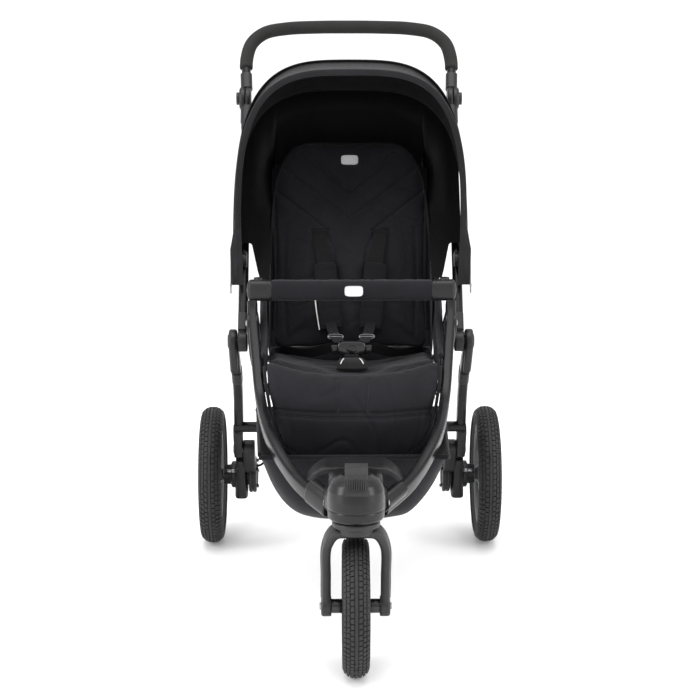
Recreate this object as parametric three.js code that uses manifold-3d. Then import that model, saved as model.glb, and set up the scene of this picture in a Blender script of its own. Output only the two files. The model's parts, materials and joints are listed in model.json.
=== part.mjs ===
// A three-wheel baby stroller, in millimetres: +Z up, the child faces -Y, and +X is the child's left.
// The origin is the middle of the footprint box, on the ground.
import * as THREE from 'three';
import { mergeVertices } from 'three/addons/utils/BufferGeometryUtils.js';
import Module from 'manifold-3d';

const wasm = await Module();
wasm.setup();

// ---- Driving dimensions -------------------------------------------------------------------------

const GAP = 0.4;                // air between pieces that touch on the real object
const LAYER_GAP = 1.4;          // air between the sliding layers of the canopy

const REAR_AXLE = { y: 390, z: 145 };
const REAR_WHEEL = { radius: 145, halfWidth: 23.5, bead: 112, track: 291 };
const FRONT_AXLE = { y: -419, z: 121 };
const FRONT_WHEEL = { radius: 121, halfWidth: 22.5, bead: 90 };
const STEER_Y = -459;           // the fork turns about this upright line, ahead of the front axle

const FOLD = { y: 140, z: 478 };            // hinge of the handle frame and of the rear legs
const TILT = { y: 420, z: 940 };            // rotary joint of the handle grip
const CANOPY = { y: 200, z: 632 };          // pivot of the canopy bows
const RECLINE = { y: 210, z: 430 };         // hinge of the seat back
const SUSPENSION = { y: 338, z: 214 };      // pivot of each rear wheel's swing arm

const HUB_INNER_X = 178;
const HUB_OUTER_X = 200;
const HANDLE_X = 213;           // centre of the handle tubes
const LEG_X = 236;              // centre of the rear legs at the hinge
const TUBE_RADIUS = 10;
const PIN_RADIUS = 7;
const PIN_CLEARANCE = 0.4;

const BACK_ANGLE = THREE.MathUtils.degToRad(22);     // lean of the seat back, behind the upright
const BACK_LENGTH = 453;
const BACK_HALF_WIDTH = 161;
const SEAT_HALF_WIDTH = 160;

const CANOPY_RADIUS = 394;
const CANOPY_HALF_WIDTH = 232.5;
const CANOPY_SHEET = 2;
const CANOPY_POWER = 3.4;        // roundness of the arch: 2 is an ellipse, and more is squarer
const CANOPY_SPAN = THREE.MathUtils.degToRad(16.25);
const CANOPY_BACK = THREE.MathUtils.degToRad(34.3);   // rear edge, behind the upright

// ---- Materials ----------------------------------------------------------------------------------

const material = (color, roughness, metalness) =>
  new THREE.MeshStandardMaterial({ color, roughness, metalness });

const fabric = material(0x212126, 0.95, 0);
const canopyFabric = material(0x26262a, 0.95, 0);
const webbing = material(0x17171a, 0.9, 0);
const tubePaint = material(0x16161a, 0.35, 0.4);
const plastic = material(0x2a2a2d, 0.5, 0);
const glossPlastic = material(0x151517, 0.25, 0);
const foam = material(0x3c3a3a, 0.95, 0);
const tyreRubber = material(0x2b2b2c, 0.9, 0);
const rimPlastic = material(0x55565a, 0.5, 0);
const steel = material(0xa0a0a4, 0.35, 1);

// ---- Closed meshes and their joins --------------------------------------------------------------

// Merges shared corners, drops triangles with no area, and turns the faces outwards.
function closed(geometry) {
  const bare = geometry.clone();
  bare.deleteAttribute('normal');
  bare.deleteAttribute('uv');
  const merged = mergeVertices(bare, 1e-3);
  const place = merged.attributes.position;
  const corners = merged.index.array;
  const kept = [];
  const a = new THREE.Vector3();
  const b = new THREE.Vector3();
  const c = new THREE.Vector3();
  let volume = 0;
  for (let i = 0; i < corners.length; i += 3) {
    const [p, q, r] = [corners[i], corners[i + 1], corners[i + 2]];
    if (p === q || q === r || r === p) continue;
    kept.push(p, q, r);
    a.fromBufferAttribute(place, p);
    b.fromBufferAttribute(place, q);
    c.fromBufferAttribute(place, r);
    volume += a.dot(b.cross(c));
  }
  if (volume < 0) kept.reverse();
  merged.setIndex(kept);
  merged.computeVertexNormals();
  return merged;
}

function toSolid(geometry) {
  const mesh = closed(geometry);
  return new wasm.Manifold(new wasm.Mesh({
    numProp: 3,
    vertProperties: new Float32Array(mesh.attributes.position.array),
    triVerts: new Uint32Array(mesh.index.array),
  }));
}

function toGeometry(solid) {
  const mesh = solid.getMesh();
  const geometry = new THREE.BufferGeometry();
  geometry.setAttribute('position', new THREE.BufferAttribute(new Float32Array(mesh.vertProperties), 3));
  geometry.setIndex(new THREE.BufferAttribute(new Uint32Array(mesh.triVerts), 1));
  geometry.computeVertexNormals();
  return geometry;
}

const join = (first, ...others) =>
  toGeometry(others.reduce((whole, next) => whole.add(toSolid(next)), toSolid(first)));

const cut = (body, ...tools) =>
  toGeometry(tools.reduce((whole, tool) => whole.subtract(toSolid(tool)), toSolid(body)));

// The same piece on the other side of the middle plane.
function mirrored(geometry) {
  const other = geometry.clone();
  other.scale(-1, 1, 1);
  return closed(other);
}

// ---- Basic forms --------------------------------------------------------------------------------

const point = (x, y, z) => new THREE.Vector3(x, y, z);

// A rod along X, between two planes, about the point (y, z).
function rodX(x0, x1, y, z, radius, sides = 16) {
  const rod = new THREE.CylinderGeometry(radius, radius, Math.abs(x1 - x0), sides);
  rod.rotateZ(Math.PI / 2);
  rod.translate((x0 + x1) / 2, y, z);
  return rod;
}

// A rod along Y about the point (x, z).
function rodY(y0, y1, x, z, radius, sides = 16) {
  const rod = new THREE.CylinderGeometry(radius, radius, y1 - y0, sides);
  rod.translate(x, (y0 + y1) / 2, z);
  return rod;
}

// A rod along Z about the point (x, y).
function rodZ(z0, z1, x, y, radius, sides = 16) {
  const rod = new THREE.CylinderGeometry(radius, radius, Math.abs(z1 - z0), sides);
  rod.rotateX(Math.PI / 2);
  rod.translate(x, y, (z0 + z1) / 2);
  return rod;
}

function block(x0, x1, y0, y1, z0, z1) {
  const box = new THREE.BoxGeometry(x1 - x0, y1 - y0, z1 - z0);
  box.translate((x0 + x1) / 2, (y0 + y1) / 2, (z0 + z1) / 2);
  return box;
}

// An oval tube through points; across is its size along X, and deep its size in the YZ plane.
function tube(points, across, deep, steps, sides = 10) {
  const path = new THREE.CatmullRomCurve3(points, false, 'centripetal');
  const section = new THREE.Shape();
  section.absellipse(0, 0, across / 2, deep / 2, 0, Math.PI * 2);
  return new THREE.ExtrudeGeometry(section, {
    extrudePath: path,
    steps,
    bevelEnabled: false,
    curveSegments: sides / 2,
  });
}

// A flat plate between two X planes. Its outline, in Y and Z, wraps the given discs like a belt.
function beltPlate(x0, x1, discs, arcSteps = 4) {
  const cloud = [];
  for (const disc of discs) {
    const count = arcSteps * 4;
    for (let i = 0; i < count; i += 1) {
      const turn = (i / count) * Math.PI * 2;
      cloud.push([disc.y + disc.r * Math.cos(turn), disc.z + disc.r * Math.sin(turn)]);
    }
  }
  return outlinePlate(x0, x1, hull(cloud));
}

// A plate between two X planes with the outline given as [y, z] corners.
function outlinePlate(x0, x1, outline) {
  const shape = new THREE.Shape(outline.map(([y, z]) => new THREE.Vector2(y, z)));
  const plate = new THREE.ExtrudeGeometry(shape, { depth: x1 - x0, bevelEnabled: false });
  const turn = new THREE.Matrix4().set(0, 0, 1, x0, 1, 0, 0, 0, 0, 1, 0, 0, 0, 0, 0, 1);
  plate.applyMatrix4(turn);
  return plate;
}

// The convex outline around a cloud of [y, z] points (Andrew's monotone chain).
function hull(cloud) {
  const sorted = [...cloud].sort((p, q) => p[0] - q[0] || p[1] - q[1]);
  const turnOf = (o, p, q) => (p[0] - o[0]) * (q[1] - o[1]) - (p[1] - o[1]) * (q[0] - o[0]);
  const chain = (points) => {
    const kept = [];
    for (const next of points) {
      while (kept.length > 1 && turnOf(kept[kept.length - 2], kept[kept.length - 1], next) <= 1e-6) {
        kept.pop();
      }
      kept.push(next);
    }
    kept.pop();
    return kept;
  };
  return [...chain(sorted), ...chain(sorted.reverse())];
}

// A closed solid between two curved sheets, front(u, v) and back(u, v), with u and v from 0 to 1.
function slab(front, back, across, along) {
  const corners = [];
  const index = [];
  const row = across + 1;
  const sheet = row * (along + 1);
  for (const surface of [front, back]) {
    for (let j = 0; j <= along; j += 1) {
      for (let i = 0; i <= across; i += 1) {
        corners.push(...surface(i / across, j / along).toArray());
      }
    }
  }
  const quad = (a, b, c, d) => index.push(a, b, c, a, c, d);
  for (let j = 0; j < along; j += 1) {
    for (let i = 0; i < across; i += 1) {
      const a = j * row + i;
      quad(a, a + 1, a + 1 + row, a + row);
      quad(a + sheet, a + sheet + row, a + sheet + row + 1, a + sheet + 1);
    }
  }
  for (let i = 0; i < across; i += 1) {
    const top = along * row + i;
    quad(i, i + sheet, i + 1 + sheet, i + 1);
    quad(top, top + 1, top + 1 + sheet, top + sheet);
  }
  for (let j = 0; j < along; j += 1) {
    const left = j * row;
    const right = left + across;
    quad(left, left + row, left + row + sheet, left + sheet);
    quad(right, right + sheet, right + row + sheet, right + row);
  }
  const geometry = new THREE.BufferGeometry();
  geometry.setAttribute('position', new THREE.Float32BufferAttribute(corners, 3));
  geometry.setIndex(index);
  return geometry;
}

// A ring about the X axis at the origin: profile is a closed list of [radius, x] corners.
function ringX(profile, segments) {
  const outline = [...profile, profile[0]].map(([radius, x]) => new THREE.Vector2(radius, x));
  const ring = new THREE.LatheGeometry(outline, segments);
  ring.rotateZ(-Math.PI / 2);
  return ring;
}

// ---- The assembly -------------------------------------------------------------------------------

const stroller = new THREE.Group();

function add(name, geometry, look, parent = stroller) {
  const mesh = new THREE.Mesh(closed(geometry), look);
  mesh.name = name;
  parent.add(mesh);
  return mesh;
}

// The given geometry is the child's left piece (+X), and its mirror image is the right one.
function addPair(name, geometry, look) {
  add(`${name}_left`, geometry, look);
  add(`${name}_right`, mirrored(geometry), look);
}

// ---- Wheels -------------------------------------------------------------------------------------

const AXLE_RADIUS = 6;
const HUB_RADIUS = 19;
const RIM_SPOKES = 6;
const SPOKE_HALF_DEPTH = 6;
const SPOKE_HALF_WIDTH = 9;
const WHEEL_SIDES = 28;

function tyreRing({ radius, halfWidth, bead }) {
  const inner = bead + GAP;
  return ringX([
    [inner, -halfWidth * 0.65],
    [radius - 15, -halfWidth],
    [radius - 4, -halfWidth * 0.7],
    [radius, -halfWidth * 0.25],
    [radius, halfWidth * 0.25],
    [radius - 4, halfWidth * 0.7],
    [radius - 15, halfWidth],
    [inner, halfWidth * 0.65],
  ], WHEEL_SIDES);
}

function rimWithSpokes({ bead, halfWidth }, hubHalfLength) {
  const well = halfWidth * 0.75;
  const band = ringX([
    [bead - 14, -well * 0.6],
    [bead, -well],
    [bead, well],
    [bead - 14, well * 0.6],
  ], WHEEL_SIDES);
  const hub = ringX([
    [AXLE_RADIUS + GAP, -hubHalfLength],
    [HUB_RADIUS, -hubHalfLength],
    [HUB_RADIUS, hubHalfLength],
    [AXLE_RADIUS + GAP, hubHalfLength],
  ], 16);
  const spokes = [];
  for (let i = 0; i < RIM_SPOKES; i += 1) {
    const spoke = block(-SPOKE_HALF_DEPTH, SPOKE_HALF_DEPTH, HUB_RADIUS - 4, bead - 8,
      -SPOKE_HALF_WIDTH, SPOKE_HALF_WIDTH);
    spoke.rotateX((i / RIM_SPOKES) * Math.PI * 2);
    spokes.push(spoke);
  }
  return join(band, hub, ...spokes);
}

function addWheel(name, size, hubHalfLength, x, y, z) {
  const wheel = new THREE.Group();
  wheel.position.set(x, y, z);
  stroller.add(wheel);
  add(name('rim'), rimWithSpokes(size, hubHalfLength), rimPlastic, wheel);
  add(name('tyre'), tyreRing(size), tyreRubber, wheel);
}

const REAR_HUB_HALF = 22;
const FRONT_HUB_HALF = 20;

addWheel((piece) => `rear_${piece}_left`, REAR_WHEEL, REAR_HUB_HALF,
  REAR_WHEEL.track, REAR_AXLE.y, REAR_AXLE.z);
addWheel((piece) => `rear_${piece}_right`, REAR_WHEEL, REAR_HUB_HALF,
  -REAR_WHEEL.track, REAR_AXLE.y, REAR_AXLE.z);
addWheel((piece) => `front_${piece}`, FRONT_WHEEL, FRONT_HUB_HALF, 0, FRONT_AXLE.y, FRONT_AXLE.z);

// ---- Fork ---------------------------------------------------------------------------------------

const FORK_LEG_X = 50;
const CROWN = { radius: 40, bottom: 272, top: 284 };
const STEERER_RADIUS = 13;
const STEERER_TOP = 332;

function forkLeg() {
  return tube([
    point(12, STEER_Y, 266),
    point(34, STEER_Y + 1, 263),
    point(FORK_LEG_X - 2, STEER_Y + 8, 240),
    point(FORK_LEG_X, STEER_Y + 24, 180),
    point(FORK_LEG_X, FRONT_AXLE.y - 1, FRONT_AXLE.z + 8),
    point(FORK_LEG_X, FRONT_AXLE.y + 1, FRONT_AXLE.z - 15),
  ], 34, 15, 8, 8);
}

function fork() {
  const crown = rodZ(CROWN.bottom - 12, CROWN.top - 3, 0, STEER_Y, CROWN.radius - 9, 20);
  const disc = rodZ(CROWN.bottom, CROWN.top, 0, STEER_Y, CROWN.radius, 20);
  const steerer = rodZ(CROWN.bottom, STEERER_TOP, 0, STEER_Y, STEERER_RADIUS);
  const body = join(crown, disc, steerer, forkLeg(), mirrored(forkLeg()));
  return cut(body, rodX(-80, 80, FRONT_AXLE.y, FRONT_AXLE.z, AXLE_RADIUS + GAP));
}

add('fork', fork(), glossPlastic);
add('front_axle', rodX(-61, 61, FRONT_AXLE.y, FRONT_AXLE.z, AXLE_RADIUS), steel);

// ---- Front tubes and fold hubs ------------------------------------------------------------------

const FRONT_TUBE = { across: 20, deep: 34 };
const TUBE_TOP = 562;

// A front tube, from under the bumper bar to the nose. Its top end is cut level for the bar to rest on.
function frontTube(extra = 0) {
  const whole = tube([
    point(191, 68, 580),
    point(189, 48, 545),
    point(182, 0, 485),
    point(170, -90, 408),
    point(147, -210, 361),
    point(101, -310, 313),
    point(48, -392, 288),
  ], FRONT_TUBE.across + extra * 2, FRONT_TUBE.deep + extra * 2, 16, 10);
  return cut(whole, block(150, 230, 0, 140, TUBE_TOP + extra, 640));
}

addPair('front_tube', frontTube(), tubePaint);

// Side plate of the frame: it joins the front tube to the fold pin and to the seat back's hinge.
function foldHub() {
  const plate = beltPlate(HUB_INNER_X, HUB_OUTER_X, [
    { y: FOLD.y, z: FOLD.z, r: 32 },
    { y: 44, z: 530, r: 22 },
    { y: RECLINE.y, z: RECLINE.z, r: 16 },
  ]);
  const pin = rodX(HUB_OUTER_X - 4, LEG_X + 14, FOLD.y, FOLD.z, PIN_RADIUS);
  return join(cut(plate, frontTube(GAP)), pin);
}

addPair('fold_hub', foldHub(), plastic);

// ---- Nose: the housing that the two front tubes and the fork meet in ------------------------------

const NOSE = { radius: 48, bottom: 285.5, top: 377 };

function swivelLever(extra = 0) {
  return outlinePlate(-19 - extra, 19 + extra, [
    [STEER_Y - 6, NOSE.top + 4 + extra],
    [STEER_Y - 28 - extra, NOSE.top + 1 + extra],
    [STEER_Y - 46 - extra, NOSE.top - 14 + extra],
    [STEER_Y - 54 - extra, NOSE.top - 40 - extra],
    [STEER_Y - 44 + extra, NOSE.top - 40 - extra],
    [STEER_Y - 36 + extra, NOSE.top - 20 - extra],
    [STEER_Y - 22 + extra, NOSE.top - 9 - extra],
    [STEER_Y - 6, NOSE.top - 6 - extra],
  ]);
}

function noseHousing() {
  const profile = [
    [0, NOSE.bottom],
    [NOSE.radius - 4, NOSE.bottom],
    [NOSE.radius, NOSE.bottom + 8],
    [NOSE.radius, NOSE.bottom + 46],
    [NOSE.radius - 3, NOSE.bottom + 64],
    [NOSE.radius - 12, NOSE.top - 12],
    [NOSE.radius - 24, NOSE.top - 3],
    [0, NOSE.top],
  ].map(([radius, z]) => new THREE.Vector2(radius, z));
  const dome = new THREE.LatheGeometry(profile, 24);
  dome.rotateX(Math.PI / 2);
  dome.translate(0, STEER_Y, 0);
  const yoke = block(-57, 57, STEER_Y + 20, -372, 268, 326);
  const spine = beltPlate(-30, 30, [
    { y: STEER_Y + 10, z: 330, r: 26 },
    { y: -380, z: 306, r: 22 },
  ]);
  const bore = rodZ(NOSE.bottom - 30, STEERER_TOP + 3, 0, STEER_Y, STEERER_RADIUS + GAP);
  const crownRoom = rodZ(200, NOSE.bottom, 0, STEER_Y, 66, 20);
  return cut(join(dome, yoke, spine), bore, crownRoom, swivelLever(GAP),
    frontTube(GAP), mirrored(frontTube(GAP)));
}

add('nose_housing', noseHousing(), glossPlastic);
add('swivel_lock_lever', swivelLever(), plastic);

// ---- Footrest -----------------------------------------------------------------------------------

const FOOTREST = { y0: -352, y1: -268, top: 345, thick: 9 };

function footrest() {
  const arch = (u, drop) => {
    const x = -94 + 188 * u;
    const past = Math.max(0, Math.abs(x) - 48) / 46;
    return [x, FOOTREST.top - drop - 38 * past * past];
  };
  const sheet = (drop) => (u, v) => {
    const [x, z] = arch(u, drop);
    return point(x, THREE.MathUtils.lerp(FOOTREST.y0, FOOTREST.y1, v), z);
  };
  const plate = slab(sheet(0), sheet(FOOTREST.thick), 16, 1);
  return cut(plate, frontTube(GAP), mirrored(frontTube(GAP)));
}

add('footrest', footrest(), plastic);

// ---- Seat ---------------------------------------------------------------------------------------

const LIP = { y: -40, z: 449 };     // front edge of the seat, in the middle
const SEAT_SIDE_RISE = 30;          // how much higher the seat's sides are than its middle

// Top of the seat cushion: it slopes down to the back, and it is dished between its raised sides.
function seatTop(u, v) {
  const side = 2 * u - 1;
  const x = side * SEAT_HALF_WIDTH;
  const y = THREE.MathUtils.lerp(LIP.y + 8, 186, v);
  const z = THREE.MathUtils.lerp(LIP.z - 2, 432, v) + SEAT_SIDE_RISE * side * side * (1 - 0.4 * v);
  return point(x, y, z);
}

function seatBottom(u, v) {
  const top = seatTop(u, v);
  return point(top.x * 0.97, top.y, THREE.MathUtils.lerp(414, 404, v));
}

function seatPan() {
  const board = slab(
    (u, v) => point(-158 + 316 * u, -34 + 224 * v, THREE.MathUtils.lerp(413, 403, v)),
    (u, v) => point(-158 + 316 * u, -34 + 224 * v, THREE.MathUtils.lerp(405, 395, v)), 1, 1);
  const crossTube = rodX(-HUB_INNER_X + GAP, HUB_INNER_X - GAP, 104, 392, 9);
  const arm = beltPlate(-HUB_INNER_X + GAP, -169, [{ y: 104, z: 392, r: 12 }, { y: 128, z: 462, r: 14 }]);
  return join(board, crossTube, arm, mirrored(arm));
}

add('seat_pan', seatPan(), plastic);
add('seat_cushion', slab(seatTop, seatBottom, 8, 4), fabric);

// Calf pad: hangs from the front edge of the seat, with a large round corner on each side.
function calfPad() {
  const fall = new THREE.CatmullRomCurve3([
    point(0, LIP.y + 6, LIP.z - 6),
    point(0, LIP.y - 14, LIP.z - 10),
    point(0, LIP.y - 44, LIP.z - 38),
    point(0, LIP.y - 58, LIP.z - 76),
    point(0, LIP.y - 52, LIP.z - 130),
    point(0, LIP.y - 38, LIP.z - 170),
  ], false, 'centripetal');
  const round = 0.52;
  const halfWidth = (v) => {
    const past = Math.max(0, (v - round) / (1 - round));
    const flare = 10 * Math.max(0, 1 - v / 0.3);
    return 56 + flare + 94 * Math.sqrt(Math.max(0, 1 - past * past));
  };
  const sheet = (depth) => (u, v) => {
    const side = 2 * u - 1;
    const middle = fall.getPointAt(v);
    const along = fall.getTangentAt(v);
    const lift = (SEAT_SIDE_RISE - 4) * side * side * (1 - v);
    return point(side * halfWidth(v), middle.y + along.z * depth, middle.z - along.y * depth + lift);
  };
  return slab(sheet(6), sheet(-6), 8, 10);
}

add('calf_pad', calfPad(), fabric);

// Crotch strap pad: rises from the front of the seat to the buckle.
function crotchPad() {
  const sheet = (drop) => (u, v) => {
    const x = (2 * u - 1) * THREE.MathUtils.lerp(33, 22, v);
    return point(x, 2 + 42 * v, LIP.z + 5 + 14 * Math.sin(v * Math.PI / 2) - drop);
  };
  return slab(sheet(0), sheet(7), 2, 6);
}

const BUCKLE = { y: 62, z: 476 };

function buckleBody() {
  const body = block(-27, 27, BUCKLE.y - 9, BUCKLE.y + 9, BUCKLE.z - 11, BUCKLE.z + 11);
  return cut(body, rodY(BUCKLE.y - 12, BUCKLE.y - 4, 0, BUCKLE.z, 8 + GAP));
}

add('crotch_pad', crotchPad(), fabric);
add('buckle_body', buckleBody(), glossPlastic);
add('buckle_button', rodY(BUCKLE.y - 12, BUCKLE.y - 7.5, 0, BUCKLE.z, 8), plastic);

// Storage basket: a sagging bowl of fabric, open at the top.
const BASKET = { y0: -226, y1: 186, halfWidth: 188, top: 330, bottom: 152 };

function basketSheet(inset) {
  return (u, v) => {
    const across = 2 * u - 1;
    const along = 2 * v - 1;
    const belly = (1 - Math.abs(across) ** 3) * (1 - Math.abs(along) ** 4);
    const narrow = 1 - 0.1 * (1 - along) / 2;
    const x = across * (BASKET.halfWidth * narrow - inset);
    const y = (BASKET.y0 + BASKET.y1) / 2 + along * ((BASKET.y1 - BASKET.y0) / 2 - inset);
    const depth = BASKET.top - BASKET.bottom;
    return point(x, y, BASKET.top - depth * belly + inset * 1.2 * (belly > 0 ? 1 : 0));
  };
}

add('basket', slab(basketSheet(3), basketSheet(0), 12, 8), fabric);

// ---- Seat back ----------------------------------------------------------------------------------

// The seat back is drawn upright, with its hinge at the origin and the child in front (-Y).
const seatBack = new THREE.Group();
seatBack.position.set(0, RECLINE.y, RECLINE.z);
seatBack.rotation.x = -BACK_ANGLE;
stroller.add(seatBack);

function backSheet(inset, y) {
  const foot = 26 + inset;
  const head = BACK_LENGTH - inset;
  const corner = 70;
  return (u, v) => {
    const side = 2 * u - 1;
    const z = THREE.MathUtils.lerp(foot, head, v);
    const past = Math.max(0, (z - (head - corner)) / corner);
    const half = BACK_HALF_WIDTH - inset - corner + corner * Math.sqrt(Math.max(0, 1 - past * past));
    return point(side * half, y(side, v), z);
  };
}

const BOARD = { front: 4, back: 11 };
const cushionFace = (side, v) => -20 + 8 * side * side * (0.4 + 0.6 * v);

const backCushion = slab(
  backSheet(2, cushionFace),
  backSheet(2, () => BOARD.front - GAP), 8, 8);

function backBoard() {
  const board = slab(
    backSheet(0, () => BOARD.front),
    backSheet(0, () => BOARD.back), 4, 8);
  const knuckles = [-1, 1].map((side) => join(
    rodX(side * 118, side * 142, 0, 0, 14),
    block(Math.min(side * 118, side * 142), Math.max(side * 118, side * 142), 4, 11, 0, 40)));
  return cut(join(board, ...knuckles), rodX(-190, 190, 0, 0, 8 + PIN_CLEARANCE));
}

add('seat_back_board', backBoard(), plastic, seatBack);
add('back_cushion', cut(backCushion, rodX(-190, 190, 0, 0, 16)), fabric, seatBack);
add('recline_shaft', rodX(-HUB_INNER_X + GAP, HUB_INNER_X - GAP, RECLINE.y, RECLINE.z, 8), steel);

// One shoulder strap with its pad, in front of the cushion.
function shoulderHarness() {
  const fall = new THREE.CatmullRomCurve3([
    point(62, -26, 262),
    point(60, -29, 235),
    point(52, -30, 190),
    point(46, -30, 140),
    point(42, -30, 92),
  ], false, 'centripetal');
  const sheet = (depth) => (u, v) => {
    const middle = fall.getPointAt(v);
    const half = v < 0.4 ? 14 : 23;
    return point(middle.x + (2 * u - 1) * half, middle.y + depth, middle.z);
  };
  return slab(sheet(-4), sheet(3), 2, 10);
}

add('shoulder_harness_left', shoulderHarness(), webbing, seatBack);
add('shoulder_harness_right', mirrored(shoulderHarness()), webbing, seatBack);

// Fabric side wing: fills the corner between the seat and the seat back.
const sideWing = outlinePlate(163, 167, [
  [-30, 480], [60, 512], [150, 556], [222, 600], [240, 600], [196, 478], [176, 440], [120, 424], [-30, 424],
]);

addPair('side_wing', sideWing, fabric);

// ---- Bumper bar ---------------------------------------------------------------------------------

const BAR = { y: 60, z: 591, high: 41, deep: 32, coreHalf: 153, halfWidth: 201 };
const BAR_BUTTON = { radius: 9, proud: 4, depth: 8, x: 178 };

function barLength(x0, x1, high, deep) {
  const outline = [];
  const corner = 13;
  for (let quarter = 0; quarter < 4; quarter += 1) {
    const sy = quarter === 0 || quarter === 3 ? 1 : -1;
    const sz = quarter < 2 ? 1 : -1;
    for (let step = 0; step <= 3; step += 1) {
      const turn = (quarter + step / 3) * Math.PI / 2;
      outline.push([
        BAR.y + sy * (deep / 2 - corner) + corner * Math.cos(turn),
        BAR.z + sz * (high / 2 - corner) + corner * Math.sin(turn),
      ]);
    }
  }
  return outlinePlate(x0, x1, outline);
}

function barEnd() {
  const cap = barLength(BAR.coreHalf + GAP, BAR.halfWidth, BAR.high, BAR.deep);
  const tongue = block(184, 196, BAR.y - 7, BAR.y + 7, TUBE_TOP + GAP, BAR.z - 12);
  const well = rodZ(BAR.z + BAR.high / 2 - BAR_BUTTON.depth - 4, BAR.z + BAR.high, BAR_BUTTON.x, BAR.y,
    BAR_BUTTON.radius + GAP);
  return cut(join(cap, tongue), well);
}

const barButton = rodZ(BAR.z + BAR.high / 2 - BAR_BUTTON.depth + 1, BAR.z + BAR.high / 2 + BAR_BUTTON.proud,
  BAR_BUTTON.x, BAR.y, BAR_BUTTON.radius);

add('bumper_bar_core', barLength(-BAR.coreHalf, BAR.coreHalf, BAR.high - 2, BAR.deep - 2), fabric);
addPair('bumper_bar_end', barEnd(), plastic);
addPair('bar_release_button', barButton, plastic);

// ---- Handle frame: two tubes with the inner halves of the rotary joints ---------------------------

const handleLean = Math.atan2(TILT.y - FOLD.y, TILT.z - FOLD.z);
const handleLength = Math.hypot(TILT.y - FOLD.y, TILT.z - FOLD.z);
const onHandle = (distance, x = HANDLE_X) => point(
  x,
  FOLD.y + distance * Math.sin(handleLean),
  FOLD.z + distance * Math.cos(handleLean),
);

const TILT_DISC = { radius: 24, innerX: 203, splitX: 215.5, outerX: 228 };

function handleTube(extra = 0) {
  return tube([onHandle(4), onHandle(handleLength / 2), onHandle(handleLength - 12)],
    (TUBE_RADIUS + extra) * 2, (TUBE_RADIUS + extra) * 2, 2, 10);
}

function handleTubeWithEye() {
  const eye = rodX(HANDLE_X - TUBE_RADIUS, HANDLE_X + TUBE_RADIUS, FOLD.y, FOLD.z, 21);
  const pinHole = rodX(HUB_OUTER_X, 240, FOLD.y, FOLD.z, PIN_RADIUS + PIN_CLEARANCE);
  const clearOfGrip = rodX(TILT_DISC.splitX - 0.8, 240, TILT.y, TILT.z, TILT_DISC.radius + 1);
  return cut(join(handleTube(), eye), pinHole, clearOfGrip);
}

function tiltHousing() {
  const disc = rodX(TILT_DISC.innerX, TILT_DISC.splitX - GAP, TILT.y, TILT.z, TILT_DISC.radius, 20);
  const sleeveEnds = [62, 40, 16].map((below) => onHandle(handleLength - below));
  const sleeve = tube(sleeveEnds, 26, 26, 2, 10);
  const clearOfGrip = rodX(TILT_DISC.splitX - GAP, 240, TILT.y, TILT.z, TILT_DISC.radius + 1);
  return cut(join(disc, cut(sleeve, clearOfGrip)), handleTube(GAP));
}

addPair('handle_tube', handleTubeWithEye(), tubePaint);
addPair('tilt_housing', tiltHousing(), plastic);

// ---- Handle grip: an arched bar with a foam sleeve, and the outer halves of the rotary joints -----

const GRIP_RADIUS = 9.5;
const FOAM = { inner: 10.3, outer: 14 };

// The arch of the grip, from its lower left end over to its lower right end.
function gripPath() {
  const half = [
    point(213, 431, 962),
    point(214, 444, 983),
    point(213.5, 470, 1022),
    point(203, 493, 1053),
    point(176, 510, 1074),
    point(130, 520, 1083),
    point(65, 525.5, 1086),
  ];
  const other = half.map((p) => point(-p.x, p.y, p.z)).reverse();
  return new THREE.CatmullRomCurve3([...half, point(0, 526, 1086.5), ...other], false, 'centripetal');
}

// Part of the arch, between two shares of its length, with a round section.
function gripSweep(section, from, to, steps) {
  const arch = gripPath();
  class Stretch extends THREE.Curve {
    getPoint(t, target = new THREE.Vector3()) {
      return arch.getPointAt(THREE.MathUtils.lerp(from, to, t), target);
    }
  }
  return new THREE.ExtrudeGeometry(section, {
    extrudePath: new Stretch(),
    steps,
    bevelEnabled: false,
    curveSegments: 4,
  });
}

function roundSection(radius, holeRadius = 0) {
  const section = new THREE.Shape();
  section.absarc(0, 0, radius, 0, Math.PI * 2);
  if (holeRadius > 0) {
    const hole = new THREE.Path();
    hole.absarc(0, 0, holeRadius, 0, Math.PI * 2);
    section.holes.push(hole);
  }
  return section;
}

function handleBar() {
  const bar = gripSweep(roundSection(GRIP_RADIUS), 0, 1, 30);
  const disc = rodX(TILT_DISC.splitX, TILT_DISC.outerX, TILT.y, TILT.z, TILT_DISC.radius, 20);
  const cheek = beltPlate(TILT_DISC.splitX, 221, [
    { y: TILT.y, z: TILT.z, r: 14 },
    { y: 440, z: 976, r: 9 },
  ]);
  const well = rodX(221, 240, TILT.y, TILT.z, 13 + GAP);
  const joint = cut(join(disc, cheek), well);
  return join(bar, joint, mirrored(joint));
}

add('handle_bar', handleBar(), tubePaint);
add('handle_foam', gripSweep(roundSection(FOAM.outer, FOAM.inner), 0.075, 0.925, 26), foam);
addPair('tilt_button', rodX(225, 234, TILT.y, TILT.z, 13), plastic);

// ---- Canopy -------------------------------------------------------------------------------------

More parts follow.
